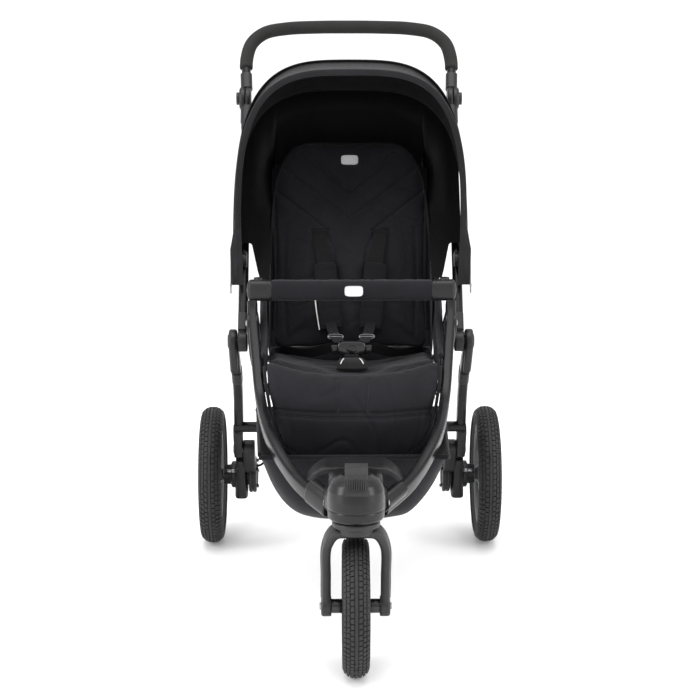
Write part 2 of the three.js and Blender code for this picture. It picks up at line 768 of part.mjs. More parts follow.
// A layer of the canopy is an arch turned about the pivot line, between two angles behind the upright.
function canopyLayer(layer, from, to) {
  const outerRadius = CANOPY_RADIUS - layer * (CANOPY_SHEET + LAYER_GAP);
  const outerHalf = CANOPY_HALF_WIDTH - layer * (CANOPY_SHEET + LAYER_GAP);
  const eyeRadius = 14;
  const start = (eyeRadius - 4) / outerRadius;
  const sheet = (inset) => (u, v) => {
    const side = 2 * u - 1;
    const sweep = THREE.MathUtils.lerp(-1, 1, u) * (Math.PI / 2 - start ** (CANOPY_POWER / 2));
    const across = Math.sign(side) * Math.abs(Math.sin(sweep)) ** (2 / CANOPY_POWER);
    const up = Math.cos(sweep) ** (2 / CANOPY_POWER);
    const radius = (outerRadius - inset) * up;
    const lean = THREE.MathUtils.lerp(from, to, v);
    return point(
      across * (outerHalf - inset),
      CANOPY.y + radius * Math.sin(lean),
      CANOPY.z + radius * Math.cos(lean),
    );
  };
  return slab(sheet(0), sheet(CANOPY_SHEET), 20, 2);
}

function canopyEye(layer) {
  const outer = CANOPY_HALF_WIDTH - layer * (CANOPY_SHEET + LAYER_GAP);
  return cut(
    rodX(outer - CANOPY_SHEET, outer, CANOPY.y, CANOPY.z, 15),
    rodX(200, 240, CANOPY.y, CANOPY.z, PIN_RADIUS + PIN_CLEARANCE));
}

function canopyPanel(layer, from, to) {
  const eye = canopyEye(layer);
  return join(canopyLayer(layer, from, to), eye, mirrored(eye));
}

// The stiff bow in the front hem of the canopy.
function frontBow() {
  const edge = CANOPY_BACK - 3 * CANOPY_SPAN;
  const arch = [];
  const count = 16;
  const start = 0.05;
  for (let i = 0; i <= count; i += 1) {
    const sweep = (2 * (i / count) - 1) * (Math.PI / 2 - start);
    const across = Math.sign(sweep) * Math.abs(Math.sin(sweep)) ** (2 / CANOPY_POWER);
    const radius = (CANOPY_RADIUS - 9) * Math.cos(sweep) ** (2 / CANOPY_POWER);
    const lean = edge - 6.5 / Math.max(radius, 60);
    arch.push(point(
      across * (CANOPY_HALF_WIDTH - 4.5),
      CANOPY.y + radius * Math.sin(lean),
      CANOPY.z + radius * Math.cos(lean),
    ));
  }
  return tube(arch, 6, 6, 22, 6);
}

// Cloth that closes the canopy behind the seat back, between the handle tubes.
function rearDrape() {
  const reach = CANOPY_RADIUS - 10;
  const top = {
    y: CANOPY.y + reach * Math.sin(CANOPY_BACK) + 6,
    z: CANOPY.z + reach * Math.cos(CANOPY_BACK) - 6,
  };
  const sheet = (depth) => (u, v) => point(
    (2 * u - 1) * THREE.MathUtils.lerp(150, 188, v),
    THREE.MathUtils.lerp(top.y, 427, v) + depth,
    THREE.MathUtils.lerp(top.z, 850, v),
  );
  return slab(sheet(0), sheet(3), 6, 3);
}

// Bracket on the handle tube that carries the canopy's pivot pin.
function canopyPivot() {
  const nearest = onHandle(178);
  const arm = beltPlate(206, CANOPY_HALF_WIDTH - 3 * (CANOPY_SHEET + LAYER_GAP), [
    { y: CANOPY.y, z: CANOPY.z, r: 15 },
    { y: nearest.y - 4, z: nearest.z + 2, r: 3 },
  ]);
  const pin = rodX(214, CANOPY_HALF_WIDTH + 5, CANOPY.y, CANOPY.z, PIN_RADIUS);
  return join(cut(arm, handleTube(GAP)), pin);
}

const bowAngles = [0, 1, 2, 3].map((step) => CANOPY_BACK - step * CANOPY_SPAN);
const OVERLAP = THREE.MathUtils.degToRad(0.5);

add('canopy_rear_panel', canopyPanel(0, bowAngles[1], bowAngles[0]), canopyFabric);
add('canopy_mid_panel', canopyPanel(1, bowAngles[2], bowAngles[1] + OVERLAP), canopyFabric);
add('canopy_front_panel', canopyPanel(2, bowAngles[3], bowAngles[2] + OVERLAP), canopyFabric);
add('canopy_front_bow', frontBow(), plastic);
add('canopy_rear_drape', rearDrape(), canopyFabric);
addPair('canopy_pivot', canopyPivot(), plastic);

// ---- Rear legs, suspension and brake ------------------------------------------------------------

const LEG_FOOT_X = 234;

function rearLegTube(extra = 0) {
  return tube([
    point(LEG_X, FOLD.y + 4, FOLD.z - 6),
    point(LEG_X, 206, 396),
    point(LEG_FOOT_X, 280, 297),
    point(LEG_FOOT_X, SUSPENSION.y - 2, SUSPENSION.z + 3),
  ], 18 + extra * 2, 30 + extra * 2, 6, 10);
}

function rearLeg() {
  const eye = rodX(LEG_X - 9, LEG_X + 9, FOLD.y, FOLD.z, 24);
  const foot = rodX(LEG_FOOT_X - 9, LEG_FOOT_X + 9, SUSPENSION.y, SUSPENSION.z, 20);
  return cut(
    join(rearLegTube(), eye, foot),
    rodX(190, 260, FOLD.y, FOLD.z, PIN_RADIUS + PIN_CLEARANCE),
    rodX(190, 260, SUSPENSION.y, SUSPENSION.z, PIN_RADIUS + PIN_CLEARANCE));
}

const CROSSBAR = { y: 286, z: 272 };

addPair('rear_leg', rearLeg(), tubePaint);
add('rear_crossbar', cut(rodX(-240, 240, CROSSBAR.y, CROSSBAR.z, 11, 20),
  rearLegTube(GAP), mirrored(rearLegTube(GAP))), tubePaint);

const ARM = { innerX: 197, outerX: 224, radius: 38, bossEnd: 258 };
const PEDAL = { y: 412, z: 160, radius: 11, pinRadius: 5, innerX: 185 };
const BRAKE_PIN = { y: REAR_AXLE.y - 28, z: REAR_AXLE.z + 14, radius: 4, innerX: 236, outerX: 260 };

function brakePin(extra = 0) {
  return rodX(BRAKE_PIN.innerX - extra, BRAKE_PIN.outerX, BRAKE_PIN.y, BRAKE_PIN.z,
    BRAKE_PIN.radius + extra, 12);
}

function suspensionArm() {
  const plate = beltPlate(ARM.innerX, ARM.outerX - GAP, [
    { y: SUSPENSION.y, z: SUSPENSION.z, r: 19 },
    { y: REAR_AXLE.y, z: REAR_AXLE.z, r: ARM.radius },
  ], 5);
  const boss = rodX(ARM.outerX - 4, ARM.bossEnd, REAR_AXLE.y, REAR_AXLE.z, ARM.radius, 20);
  const pin = rodX(ARM.outerX - 4, LEG_FOOT_X + 14, SUSPENSION.y, SUSPENSION.z, PIN_RADIUS);
  const axle = rodX(250, REAR_WHEEL.track + REAR_HUB_HALF + 1, REAR_AXLE.y, REAR_AXLE.z, AXLE_RADIUS);
  return cut(join(plate, boss, pin, axle), brakePin(GAP));
}

// The pedal hangs on the inner face of the left arm, with its foot pad behind the axle.
function brakePedal() {
  const outer = ARM.innerX - GAP;
  const lever = beltPlate(PEDAL.innerX, outer, [
    { y: PEDAL.y, z: PEDAL.z, r: PEDAL.radius },
    { y: 452, z: 176, r: 7 },
  ]);
  const pad = block(PEDAL.innerX, 228, 446, 470, 171, 182);
  const pin = rodX(outer - 5, ARM.innerX + 14, PEDAL.y, PEDAL.z, PEDAL.pinRadius, 12);
  return join(lever, pad, pin);
}

// The cable that pulls the right brake pin, from one arm to the other, under the crossbar.
function brakeCable() {
  const half = [
    point(ARM.innerX - 1.5, 384, 165),
    point(188, 381, 168),
    point(170, 362, 193),
    point(138, 328, 229),
    point(90, 298, 251),
    point(45, 288, 257),
  ];
  const other = half.map((p) => point(-p.x, p.y, p.z)).reverse();
  return tube([...half, ...other], 5, 5, 26, 6);
}

const pedalHole = rodX(ARM.innerX - 5, ARM.innerX + 15, PEDAL.y, PEDAL.z,
  PEDAL.pinRadius + PIN_CLEARANCE, 12);

add('suspension_arm_left', cut(suspensionArm(), pedalHole), plastic);
add('suspension_arm_right', mirrored(suspensionArm()), plastic);
addPair('brake_pin', brakePin(), steel);
add('brake_pedal', brakePedal(), plastic);
add('brake_cable', brakeCable(), webbing);

export default stroller;
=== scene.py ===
import json
import math
from collections import namedtuple

import bmesh
import bpy
import numpy as np
from mathutils import Matrix, Vector, noise


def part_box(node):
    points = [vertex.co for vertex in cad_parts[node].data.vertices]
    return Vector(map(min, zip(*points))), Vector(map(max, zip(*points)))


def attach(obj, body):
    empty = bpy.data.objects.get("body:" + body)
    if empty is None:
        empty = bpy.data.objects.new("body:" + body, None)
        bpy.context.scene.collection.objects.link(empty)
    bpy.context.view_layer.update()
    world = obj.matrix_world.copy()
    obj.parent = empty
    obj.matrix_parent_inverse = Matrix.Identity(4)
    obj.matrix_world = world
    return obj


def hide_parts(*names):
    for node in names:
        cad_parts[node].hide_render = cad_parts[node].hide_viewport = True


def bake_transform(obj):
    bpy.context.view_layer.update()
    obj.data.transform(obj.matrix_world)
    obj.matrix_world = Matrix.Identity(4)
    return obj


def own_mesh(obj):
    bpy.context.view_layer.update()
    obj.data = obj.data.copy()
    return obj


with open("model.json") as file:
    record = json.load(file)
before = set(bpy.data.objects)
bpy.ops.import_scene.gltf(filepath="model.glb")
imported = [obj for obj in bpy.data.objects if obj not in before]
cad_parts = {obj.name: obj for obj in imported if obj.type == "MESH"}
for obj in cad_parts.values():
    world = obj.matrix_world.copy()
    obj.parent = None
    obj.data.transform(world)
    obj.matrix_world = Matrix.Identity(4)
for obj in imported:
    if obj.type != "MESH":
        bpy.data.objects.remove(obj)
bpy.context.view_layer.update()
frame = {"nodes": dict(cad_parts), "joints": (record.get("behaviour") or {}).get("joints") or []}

# A three-wheel baby stroller, in metres: +Z up, the child faces -Y, and +X is the child's left.

SIDES = ("left", "right")

# ---- Camera, floor and light --------------------------------------------------------------------

CAMERA_AT = Vector((-0.048, -3.283, 1.082))
CAMERA_PITCH = 10.3
CAMERA_YAW = 0.77
CAMERA_LENS = 90.8
FLOOR_WHITE = (0.97, 0.97, 0.97, 1)
WORLD_STRENGTH = 1.05


def add_camera():
    camera = bpy.data.objects.new("camera", bpy.data.cameras.new("camera"))
    camera.location = CAMERA_AT
    camera.rotation_euler = (math.radians(90 - CAMERA_PITCH), 0, math.radians(-CAMERA_YAW))
    camera.data.lens = CAMERA_LENS
    bpy.context.collection.objects.link(camera)
    bpy.context.scene.camera = camera


def add_floor():
    """A pale floor that curves up into a backdrop, far behind the stroller."""
    half, turn, wall = 14.0, 4.0, 9.0
    profile = [(-half, 0.0), (turn, 0.0)]
    profile += [
        (turn + turn * math.sin(a), turn - turn * math.cos(a))
        for a in (math.radians(d) for d in range(10, 91, 10))
    ]
    profile.append((2 * turn, wall))
    verts = [(x, y, z) for y, z in profile for x in (-half, half)]
    faces = [(2 * i, 2 * i + 1, 2 * i + 3, 2 * i + 2) for i in range(len(profile) - 1)]
    mesh = bpy.data.meshes.new("floor")
    mesh.from_pydata(verts, [], faces)
    mesh.polygons.foreach_set("use_smooth", [True] * len(faces))
    floor = bpy.data.objects.new("floor", mesh)
    bpy.context.collection.objects.link(floor)
    paint = bpy.data.materials.new("floor")
    paint.use_nodes = True
    shader = paint.node_tree.nodes["Principled BSDF"]
    shader.inputs["Base Color"].default_value = FLOOR_WHITE
    shader.inputs["Roughness"].default_value = 0.75
    mesh.materials.append(paint)


def add_area_light(name, at, aim, size, power):
    lamp = bpy.data.lights.new(name, "AREA")
    lamp.shape = "RECTANGLE"
    lamp.size, lamp.size_y = size
    lamp.energy = power
    light = bpy.data.objects.new(name, lamp)
    light.location = at
    light.rotation_euler = (Vector(aim) - Vector(at)).to_track_quat("-Z", "Y").to_euler()
    bpy.context.collection.objects.link(light)


def add_light():
    world = bpy.data.worlds.new("studio")
    bpy.context.scene.world = world
    world.use_nodes = True
    world.node_tree.nodes["Background"].inputs["Color"].default_value = (1, 1, 1, 1)
    world.node_tree.nodes["Background"].inputs["Strength"].default_value = WORLD_STRENGTH
    add_area_light("softbox_top", (0, -0.6, 3.6), (0, 0, 0.5), (3.0, 3.0), 90)
    add_area_light("strip_left", (-2.6, -1.4, 1.5), (0, 0, 0.5), (0.9, 2.6), 60)
    add_area_light("strip_right", (2.6, -1.6, 1.5), (0, 0, 0.5), (0.9, 2.6), 45)
    bpy.context.scene.view_settings.view_transform = "Standard"


add_camera()
add_floor()
add_light()

# ---- Materials ----------------------------------------------------------------------------------


class Look:
    """One procedural material, and short calls that add nodes to it."""

    def __init__(self, name, colour, roughness, metallic=0.0, **sockets):
        self.material = bpy.data.materials.new(name)
        self.material.use_nodes = True
        self.tree = self.material.node_tree
        self.shader = self.tree.nodes["Principled BSDF"]
        self.set("Base Color", (*colour, 1))
        self.set("Roughness", roughness)
        self.set("Metallic", metallic)
        for socket, value in sockets.items():
            self.set(socket.replace("_", " "), value)
        self.colour = colour
        self.roughness = roughness
        self.place = self.node("ShaderNodeTexCoord").outputs["Object"]

    def set(self, socket, value):
        self.shader.inputs[socket].default_value = value

    def node(self, kind, **values):
        new = self.tree.nodes.new(kind)
        for key, value in values.items():
            if isinstance(value, bpy.types.NodeSocket):
                self.tree.links.new(value, new.inputs[key])
            else:
                new.inputs[key].default_value = value
        return new

    def math(self, operation, a, b=0.0):
        new = self.tree.nodes.new("ShaderNodeMath")
        new.operation = operation
        for i, value in enumerate((a, b)):
            if isinstance(value, bpy.types.NodeSocket):
                self.tree.links.new(value, new.inputs[i])
            else:
                new.inputs[i].default_value = value
        return new.outputs[0]

    def noise(self, scale, detail=3.0, roughness=0.55, vector=None):
        return self.node("ShaderNodeTexNoise", Vector=vector or self.place, Scale=scale, Detail=detail,
                         Roughness=roughness).outputs["Fac"]

    def vary_colour(self, fac, dark, light):
        """The base colour runs from dark to light times itself as fac runs over its middle range."""
        ramp = self.tree.nodes.new("ShaderNodeValToRGB")
        ramp.color_ramp.elements[0].position = 0.3
        ramp.color_ramp.elements[1].position = 0.7
        ramp.color_ramp.elements[0].color = (*(c * dark for c in self.colour), 1)
        ramp.color_ramp.elements[1].color = (*(c * light for c in self.colour), 1)
        self.tree.links.new(fac, ramp.inputs["Fac"])
        self.tree.links.new(ramp.outputs["Color"], self.shader.inputs["Base Color"])

    def vary_roughness(self, fac, spread):
        moved = self.math("MULTIPLY_ADD", fac, spread)
        self.tree.nodes[-1].inputs[2].default_value = self.roughness - spread / 2
        self.tree.links.new(moved, self.shader.inputs["Roughness"])

    def bump(self, *heights):
        """Each height is (socket, distance in metres, strength), and they are laid over each other."""
        normal = None
        for socket, distance, strength in heights:
            new = self.node("ShaderNodeBump", Height=socket, Distance=distance, Strength=strength)
            if normal is not None:
                self.tree.links.new(normal, new.inputs["Normal"])
            normal = new.outputs["Normal"]
        self.tree.links.new(normal, self.shader.inputs["Normal"])


def weave(look, pitch, twill=0.0):
    """Height of a plain weave: two sets of threads that cross, in the piece's own space."""
    split = look.node("ShaderNodeSeparateXYZ", Vector=look.place)
    x, y, z = (split.outputs[axis] for axis in "XYZ")
    turn = 2 * math.pi / pitch
    warp = look.math("MULTIPLY", look.math("ADD", x, look.math("MULTIPLY", y, 0.81)), turn)
    weft = look.math("MULTIPLY", look.math("ADD", z, look.math("MULTIPLY", y, 0.59)), turn)
    over = look.math("SINE", look.math("ADD", warp, look.math("MULTIPLY", weft, twill)))
    under = look.math("SINE", weft)
    return look.math("MULTIPLY_ADD", look.math("MULTIPLY", over, under), 0.5)


def fabric_look(name, colour, pitch, twill, wrinkle, sheen=0.35, roughness=0.85):
    look = Look(name, colour, roughness, Sheen_Weight=sheen, Sheen_Roughness=0.45)
    look.set("Specular IOR Level", 0.14)
    threads = weave(look, pitch, twill)
    large = look.noise(9, 3)
    fine = look.noise(160, 2)
    look.vary_colour(large, 0.8, 1.25)
    look.vary_roughness(fine, 0.14)
    look.bump((threads, 0.0003, 0.5), (large, 0.004, wrinkle), (look.noise(38, 4), 0.0012, 0.35))
    return look.material


def plastic_look(name, colour, roughness, grain, coat=0.0):
    look = Look(name, colour, roughness, Coat_Weight=coat, Coat_Roughness=0.12)
    look.set("Specular IOR Level", 0.34)
    scuffs = look.noise(22, 5, 0.65)
    look.vary_colour(scuffs, 0.85, 1.2)
    look.vary_roughness(scuffs, 0.16)
    look.bump((look.noise(900, 2), 0.00015, grain), (look.noise(14, 2), 0.002, 0.04))
    return look.material


def paint_look(name, colour, roughness):
    look = Look(name, colour, roughness)
    look.set("Specular IOR Level", 0.20)
    wear = look.noise(60, 6, 0.7)
    look.vary_colour(wear, 0.8, 1.35)
    look.vary_roughness(look.noise(30, 4), 0.14)
    look.bump((look.noise(420, 2), 0.0001, 0.12), (look.noise(18, 2), 0.001, 0.03))
    return look.material


def rubber_look(name, colour, roughness, pores):
    look = Look(name, colour, roughness)
    look.set("Specular IOR Level", 0.35)
    dust = look.noise(26, 5, 0.7)
    look.vary_colour(dust, 0.75, 1.35)
    look.vary_roughness(dust, 0.12)
    cells = look.node("ShaderNodeTexVoronoi", Vector=look.place, Scale=pores).outputs["Distance"]
    look.bump((cells, 0.0004, 0.4), (look.noise(300, 3), 0.0003, 0.3))
    return look.material


def steel_look(name, colour, roughness):
    look = Look(name, colour, roughness, 1.0)
    brushed = look.node("ShaderNodeMapping", Vector=look.place)
    brushed.inputs["Scale"].default_value = (30, 900, 900)
    lines = look.noise(1, 3, vector=brushed.outputs["Vector"])
    look.vary_colour(lines, 0.85, 1.1)
    look.vary_roughness(lines, 0.2)
    look.bump((lines, 0.0001, 0.2))
    return look.material


SEAT = fabric_look("seat_fabric", (0.0092, 0.0088, 0.0112), 0.0016, 0.0, 0.35, 0.09)
SEAT_TRIM = fabric_look("seat_trim_fabric", (0.0062, 0.0060, 0.0072), 0.0013, 0.0, 0.2, 0.08)
CANOPY = fabric_look("canopy_fabric", (0.0115, 0.0113, 0.0125), 0.0012, 1.0, 0.3, 0.10)
# The canopy's inner faces get a darker copy of its fabric: the extra darkness is painted shade for the dim inside of
# the hood and the curtain.
SHADED_LINING = fabric_look("canopy_lining_painted_shade", (0.0024, 0.0024, 0.0029), 0.0012, 0.0, 0.4, 0.03, 0.95)
WEBBING = fabric_look("webbing", (0.0040, 0.0040, 0.0046), 0.0022, 1.0, 0.1, 0.07, 0.7)
PIPING = fabric_look("white_piping", (0.62, 0.62, 0.61), 0.0010, 1.0, 0.05, 0.2, 0.7)
THREAD = fabric_look("thread", (0.016, 0.0155, 0.019), 0.0006, 1.0, 0.05, 0.3, 0.7)
PAINT = paint_look("frame_paint", (0.0060, 0.0060, 0.0068), 0.26)
PLASTIC = plastic_look("satin_plastic", (0.0075, 0.0075, 0.0082), 0.40, 0.35)
SATIN = plastic_look("fork_plastic", (0.0190, 0.0190, 0.0198), 0.42, 0.25)
NOSE = plastic_look("nose_plastic", (0.0050, 0.0050, 0.0054), 0.31, 0.15)
GLOSS = plastic_look("gloss_plastic", (0.0045, 0.0045, 0.0050), 0.22, 0.10, 0.35)
RIM = plastic_look("rim_plastic", (0.085, 0.086, 0.090), 0.42, 0.25)
BADGE = plastic_look("badge_plastic", (0.58, 0.58, 0.59), 0.30, 0.05, 0.5)
FOAM = rubber_look("grip_foam", (0.0130, 0.0125, 0.0122), 0.92, 700)
TYRE = rubber_look("tyre_rubber", (0.0185, 0.0182, 0.0185), 0.70, 380)
STEEL = steel_look("steel", (0.30, 0.30, 0.31), 0.34)

# ---- Mesh helpers -------------------------------------------------------------------------------


def piece(name, verts, faces, look, sharp=35):
    """A mesh object, smooth except along edges sharper than the given angle in degrees."""
    mesh = bpy.data.meshes.new(name)
    mesh.from_pydata([tuple(v) for v in verts], [], faces)
    mesh.materials.append(look)
    obj = bpy.data.objects.new(name, mesh)
    bpy.context.collection.objects.link(obj)
    tidy(obj, sharp)
    return obj


WELD_GAP = 1e-6


def tidy(obj, sharp=35):
    """Merges doubled corners, points the faces outwards, and sets the shading."""
    work = bmesh.new()
    work.from_mesh(obj.data)
    bmesh.ops.remove_doubles(work, verts=work.verts, dist=WELD_GAP)
    bmesh.ops.recalc_face_normals(work, faces=work.faces)
    work.to_mesh(obj.data)
    work.free()
    obj.data.polygons.foreach_set("use_smooth", [True] * len(obj.data.polygons))
    obj.data.set_sharp_from_angle(angle=math.radians(sharp))


def join(name, objects):
    """One object from several. Their modifiers are applied first."""
    for obj in objects:
        bake(obj)
    work = bmesh.new()
    looks = []
    for obj in objects:
        start = len(work.faces)
        work.from_mesh(obj.data)
        work.faces.ensure_lookup_table()
        for face in work.faces[start:]:
            look = obj.data.materials[face.material_index]
            if look not in looks:
                looks.append(look)
            face.material_index = looks.index(look)
        bpy.data.objects.remove(obj)
    mesh = bpy.data.meshes.new(name)
    work.to_mesh(mesh)
    work.free()
    for look in looks:
        mesh.materials.append(look)
    whole = bpy.data.objects.new(name, mesh)
    bpy.context.collection.objects.link(whole)
    return whole


def bake(obj):
    """Applies an object's modifiers and its own transform to its mesh."""
    bpy.context.view_layer.update()
    shown = obj.evaluated_get(bpy.context.evaluated_depsgraph_get())
    mesh = bpy.data.meshes.new_from_object(shown)
    mesh.transform(obj.matrix_world)
    obj.modifiers.clear()
    obj.data = mesh
    obj.matrix_world = Matrix()
    return obj


def copied(obj, name, matrix):
    """A copy of a baked mesh, moved by a matrix. A mirror image has its faces turned back outwards."""
    mesh = obj.data.copy()
    mesh.transform(matrix)
    if matrix.determinant() < 0:
        mesh.flip_normals()
    other = bpy.data.objects.new(name, mesh)
    bpy.context.collection.objects.link(other)
    return other


MIRROR = Matrix.Scale(-1, 4, (1, 0, 0))


def ride(obj, body, slot, *nodes):
    """The piece rides on a body, and stands for the given CAD nodes. slot is not used."""
    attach(obj, body)
    if nodes:
        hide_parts(*nodes)
    return obj


def pair(make, name, body, slot, *nodes):
    """A piece on the child's left (+X) and its mirror image. {} in a name becomes left or right."""
    left = bake(make(name.format("left")))
    right = copied(left, name.format("right"), MIRROR)
    for obj, side in zip((left, right), SIDES):
        ride(obj, body.format(side), slot, *(node.format(side) for node in nodes))
    return left, right


def bend_pair(make, name, slot, bodies, start, end, *nodes):
    """A mirrored pair, baked in place, which stands for the given CAD nodes. bodies, start and end are not used."""
    left = bake(make(name.format("left")))
    both = (left, copied(left, name.format("right"), MIRROR))
    for obj, side in zip(both, SIDES):
        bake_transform(obj)
        if nodes:
            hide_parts(*(node.format(side) for node in nodes))
    return both


def spline(points, count):
    """Evenly spaced points along a centripetal Catmull-Rom curve through the given points."""
    p = [np.array(q, float) for q in points]
    p = [2 * p[0] - p[1], *p, 2 * p[-1] - p[-2]]
    dense = []
    for i in range(1, len(p) - 2):
        knots = [0.0]
        for a, b in zip(p[i - 1:i + 2], p[i:i + 3]):
            knots.append(knots[-1] + max(np.linalg.norm(b - a), 1e-9) ** 0.5)
        for t in np.linspace(knots[1], knots[2], 24, endpoint=False):
            a = [((knots[k + 1] - t) * p[i - 1 + k] + (t - knots[k]) * p[i + k]) / (knots[k + 1] - knots[k])
                 for k in range(3)]
            b = [((knots[k + 2] - t) * a[k] + (t - knots[k]) * a[k + 1]) / (knots[k + 2] - knots[k])
                 for k in range(2)]
            dense.append(((knots[2] - t) * b[0] + (t - knots[1]) * b[1]) / (knots[2] - knots[1]))
    dense.append(p[-2])
    dense = np.array(dense)
    run = np.concatenate([[0], np.cumsum(np.linalg.norm(np.diff(dense, axis=0), axis=1))])
    even = np.linspace(0, run[-1], count)
    return [Vector([np.interp(s, run, dense[:, k]) for k in range(3)]) for s in even]


def frames(path, side=(1, 0, 0)):
    """(point, side, up) along a path, with side kept as near as can be to the given direction."""
    out = []
    for i, at in enumerate(path):
        ahead = (path[min(i + 1, len(path) - 1)] - path[max(i - 1, 0)]).normalized()
        right = Vector(side) - ahead * Vector(side).dot(ahead)
        right.normalize()
        out.append((at, right, ahead.cross(right)))
        side = right
    return out


def bent(value, power):
    """A sine or cosine raised to a power, with its sign kept: below 1 it squares a round section."""
    return math.copysign(abs(value) ** power, value)


def squared(angle, across, up, side_power, top_power):
    """A point of a rounded rectangle, at an angle round it."""
    return (across * bent(math.cos(angle), side_power), up * bent(math.sin(angle), top_power))


def tube_faces(around, rows):
    """The faces of a tube with a given count of corners round it and of rows along it, and its two ends."""
    faces = []
    for j in range(rows - 1):
        for k in range(around):
            a, b = j * around + k, j * around + (k + 1) % around
            faces.append((a, b, b + around, a + around))
    last = (rows - 1) * around
    return faces + [tuple(range(around - 1, -1, -1)), tuple(range(last, last + around))]


def sweep(name, path, section, look, side=(1, 0, 0), ends=0.0, sharp=40):
    """A closed solid with section(angle, share) = (across, up) along a path. ends rounds its ends off."""
    around = 28
    stations = [(frame_, i / (len(path) - 1), 1.0) for i, frame_ in enumerate(frames(path, side))]
    if ends:
        caps = [(math.cos(a), 1 - math.sin(a)) for a in (math.radians(d) for d in (80, 60, 40, 20))]
        ahead = (path[1] - path[0]).normalized()
        behind = (path[-2] - path[-1]).normalized()
        first, last = stations[0], stations[-1]
        start = [((first[0][0] - ahead * ends * (1 - drop), *first[0][1:]), 0.0, width)
                 for width, drop in caps]
        stop = [((last[0][0] - behind * ends * (1 - drop), *last[0][1:]), 1.0, width)
                for width, drop in reversed(caps)]
        stations = start + stations + stop
    verts = []
    for (at, right, up), share, width in stations:
        for k in range(around):
            across, rise = section(2 * math.pi * k / around, share)
            verts.append(at + right * across * width + up * rise * width)
    return piece(name, verts, tube_faces(around, len(stations)), look, sharp)


def solid_sheet(name, top, bottom, across, along, look):
    """A closed pad between two surfaces of (u, v)."""
    row = across + 1
    verts = [top(i / across, j / along) for j in range(along + 1) for i in range(row)]
    count = len(verts)
    verts += [bottom(i / across, j / along) for j in range(along + 1) for i in range(row)]
    faces = []
    for j in range(along):
        for i in range(across):
            a = j * row + i
            faces.append((a, a + 1, a + 1 + row, a + row))
            faces.append((count + a, count + a + row, count + a + 1 + row, count + a + 1))
    edge = (list(range(row)) + [j * row + across for j in range(1, along + 1)]
            + [along * row + i for i in range(across - 1, -1, -1)] + [j * row for j in range(along - 1, 0, -1)])
    faces += [(a, count + a, count + b, b) for a, b in zip(edge, edge[1:] + edge[:1])]
    return piece(name, verts, faces, look)


def oval(across, up, power=2.0):
    """A superellipse section: power 2 is an ellipse, and more is squarer."""
    return lambda angle, _share: squared(angle, across, up, 2 / power, 2 / power)


def lathe(name, profile, look, axis, at, segments):
    """Turns a profile of (radius, distance along the X or Z axis) into a closed solid or ring."""
    verts, faces = [], []
    count = len(profile)
    for k in range(segments):
        turn = 2 * math.pi * k / segments
        for radius, along in profile:
            c, s = radius * math.cos(turn), radius * math.sin(turn)
            verts.append(Vector((along, c, s) if axis == "X" else (c, s, along)) + Vector(at))
    for k in range(segments):
        for i in range(count):
            a, b = k * count + i, k * count + (i + 1) % count
            c, d = ((k + 1) % segments) * count + (i + 1) % count, ((k + 1) % segments) * count + i
            faces.append((a, b, c, d))
    obj = piece(name, verts, faces, look)
    clean = bmesh.new()
    clean.from_mesh(obj.data)
    bmesh.ops.dissolve_degenerate(clean, dist=WELD_GAP, edges=clean.edges)
    loose = [face for face in clean.faces if face.calc_area() < 1e-14]
    bmesh.ops.delete(clean, geom=loose, context="FACES")
    clean.to_mesh(obj.data)
    clean.free()
    return obj


def rounded(profile, radius, steps):
    """The same closed profile with each corner cut to a small arc."""
    out = []
    count = len(profile)
    for i in range(count):
        a, b, c = (np.array(profile[(i + k) % count], float) for k in (-1, 0, 1))
        into, away = a - b, c - b
        reach = min(radius, np.linalg.norm(into) * 0.45, np.linalg.norm(away) * 0.45)
        start = b + into / np.linalg.norm(into) * reach
        stop = b + away / np.linalg.norm(away) * reach
        for t in np.linspace(0, 1, steps + 1):
            out.append(tuple((1 - t) ** 2 * start + 2 * t * (1 - t) * b + t ** 2 * stop))
    return out


def turned(name, profile, radius, steps, look, axis, at, segments):
    """A lathe-turned part whose profile has rounded corners."""
    return lathe(name, rounded(profile, radius, steps), look, axis, at, segments)


def plate(name, outline, x0, x1, look, bevel):
    """A plate between two X planes, with a [y, z] outline and bevelled rims."""
    count = len(outline)
    verts = [(x, y, z) for x in (x0, x1) for y, z in outline]
    faces = [tuple(range(count - 1, -1, -1)), tuple(range(count, 2 * count))]
    faces += [(i, (i + 1) % count, count + (i + 1) % count, count + i) for i in range(count)]
    return soften(piece(name, verts, faces, look, 30), bevel)


def soften(obj, width, segments=3):
    """Bevels a piece's sharp edges."""
    modifier = obj.modifiers.new("bevel", "BEVEL")
    modifier.width = width
    modifier.segments = segments
    modifier.limit_method = "ANGLE"
    modifier.angle_limit = math.radians(30)
    bake(obj)
    obj.data.polygons.foreach_set("use_smooth", [True] * len(obj.data.polygons))
    obj.data.set_sharp_from_angle(angle=math.radians(40))
    return obj


def box(name, low, high, look, bevel, segments):
    """A box with bevelled edges, between two corners."""
    corners = [(x, y, z) for x in (low[0], high[0]) for y in (low[1], high[1]) for z in (low[2], high[2])]
    faces = [(0, 1, 3, 2), (4, 6, 7, 5), (0, 4, 5, 1), (2, 3, 7, 6), (0, 2, 6, 4), (1, 5, 7, 3)]
    return soften(piece(name, corners, faces, look), bevel, segments)


def belt(discs):
    """The outline that wraps discs of (y, z, radius) like a belt."""
    turns = 40
    cloud = sorted(
        (y + r * math.cos(a), z + r * math.sin(a))
        for y, z, r in discs
        for a in (2 * math.pi * k / turns for k in range(turns))
    )

    def half(points):
        kept = []
        for p in points:
            while len(kept) > 1:
                (oy, oz), (qy, qz) = kept[-2], kept[-1]
                if (qy - oy) * (p[1] - oz) - (qz - oz) * (p[0] - oy) > 1e-12:
                    break
                kept.pop()
            kept.append(p)
        return kept[:-1]

    return half(cloud) + half(cloud[::-1])

# ---- Wheels -------------------------------------------------------------------------------------

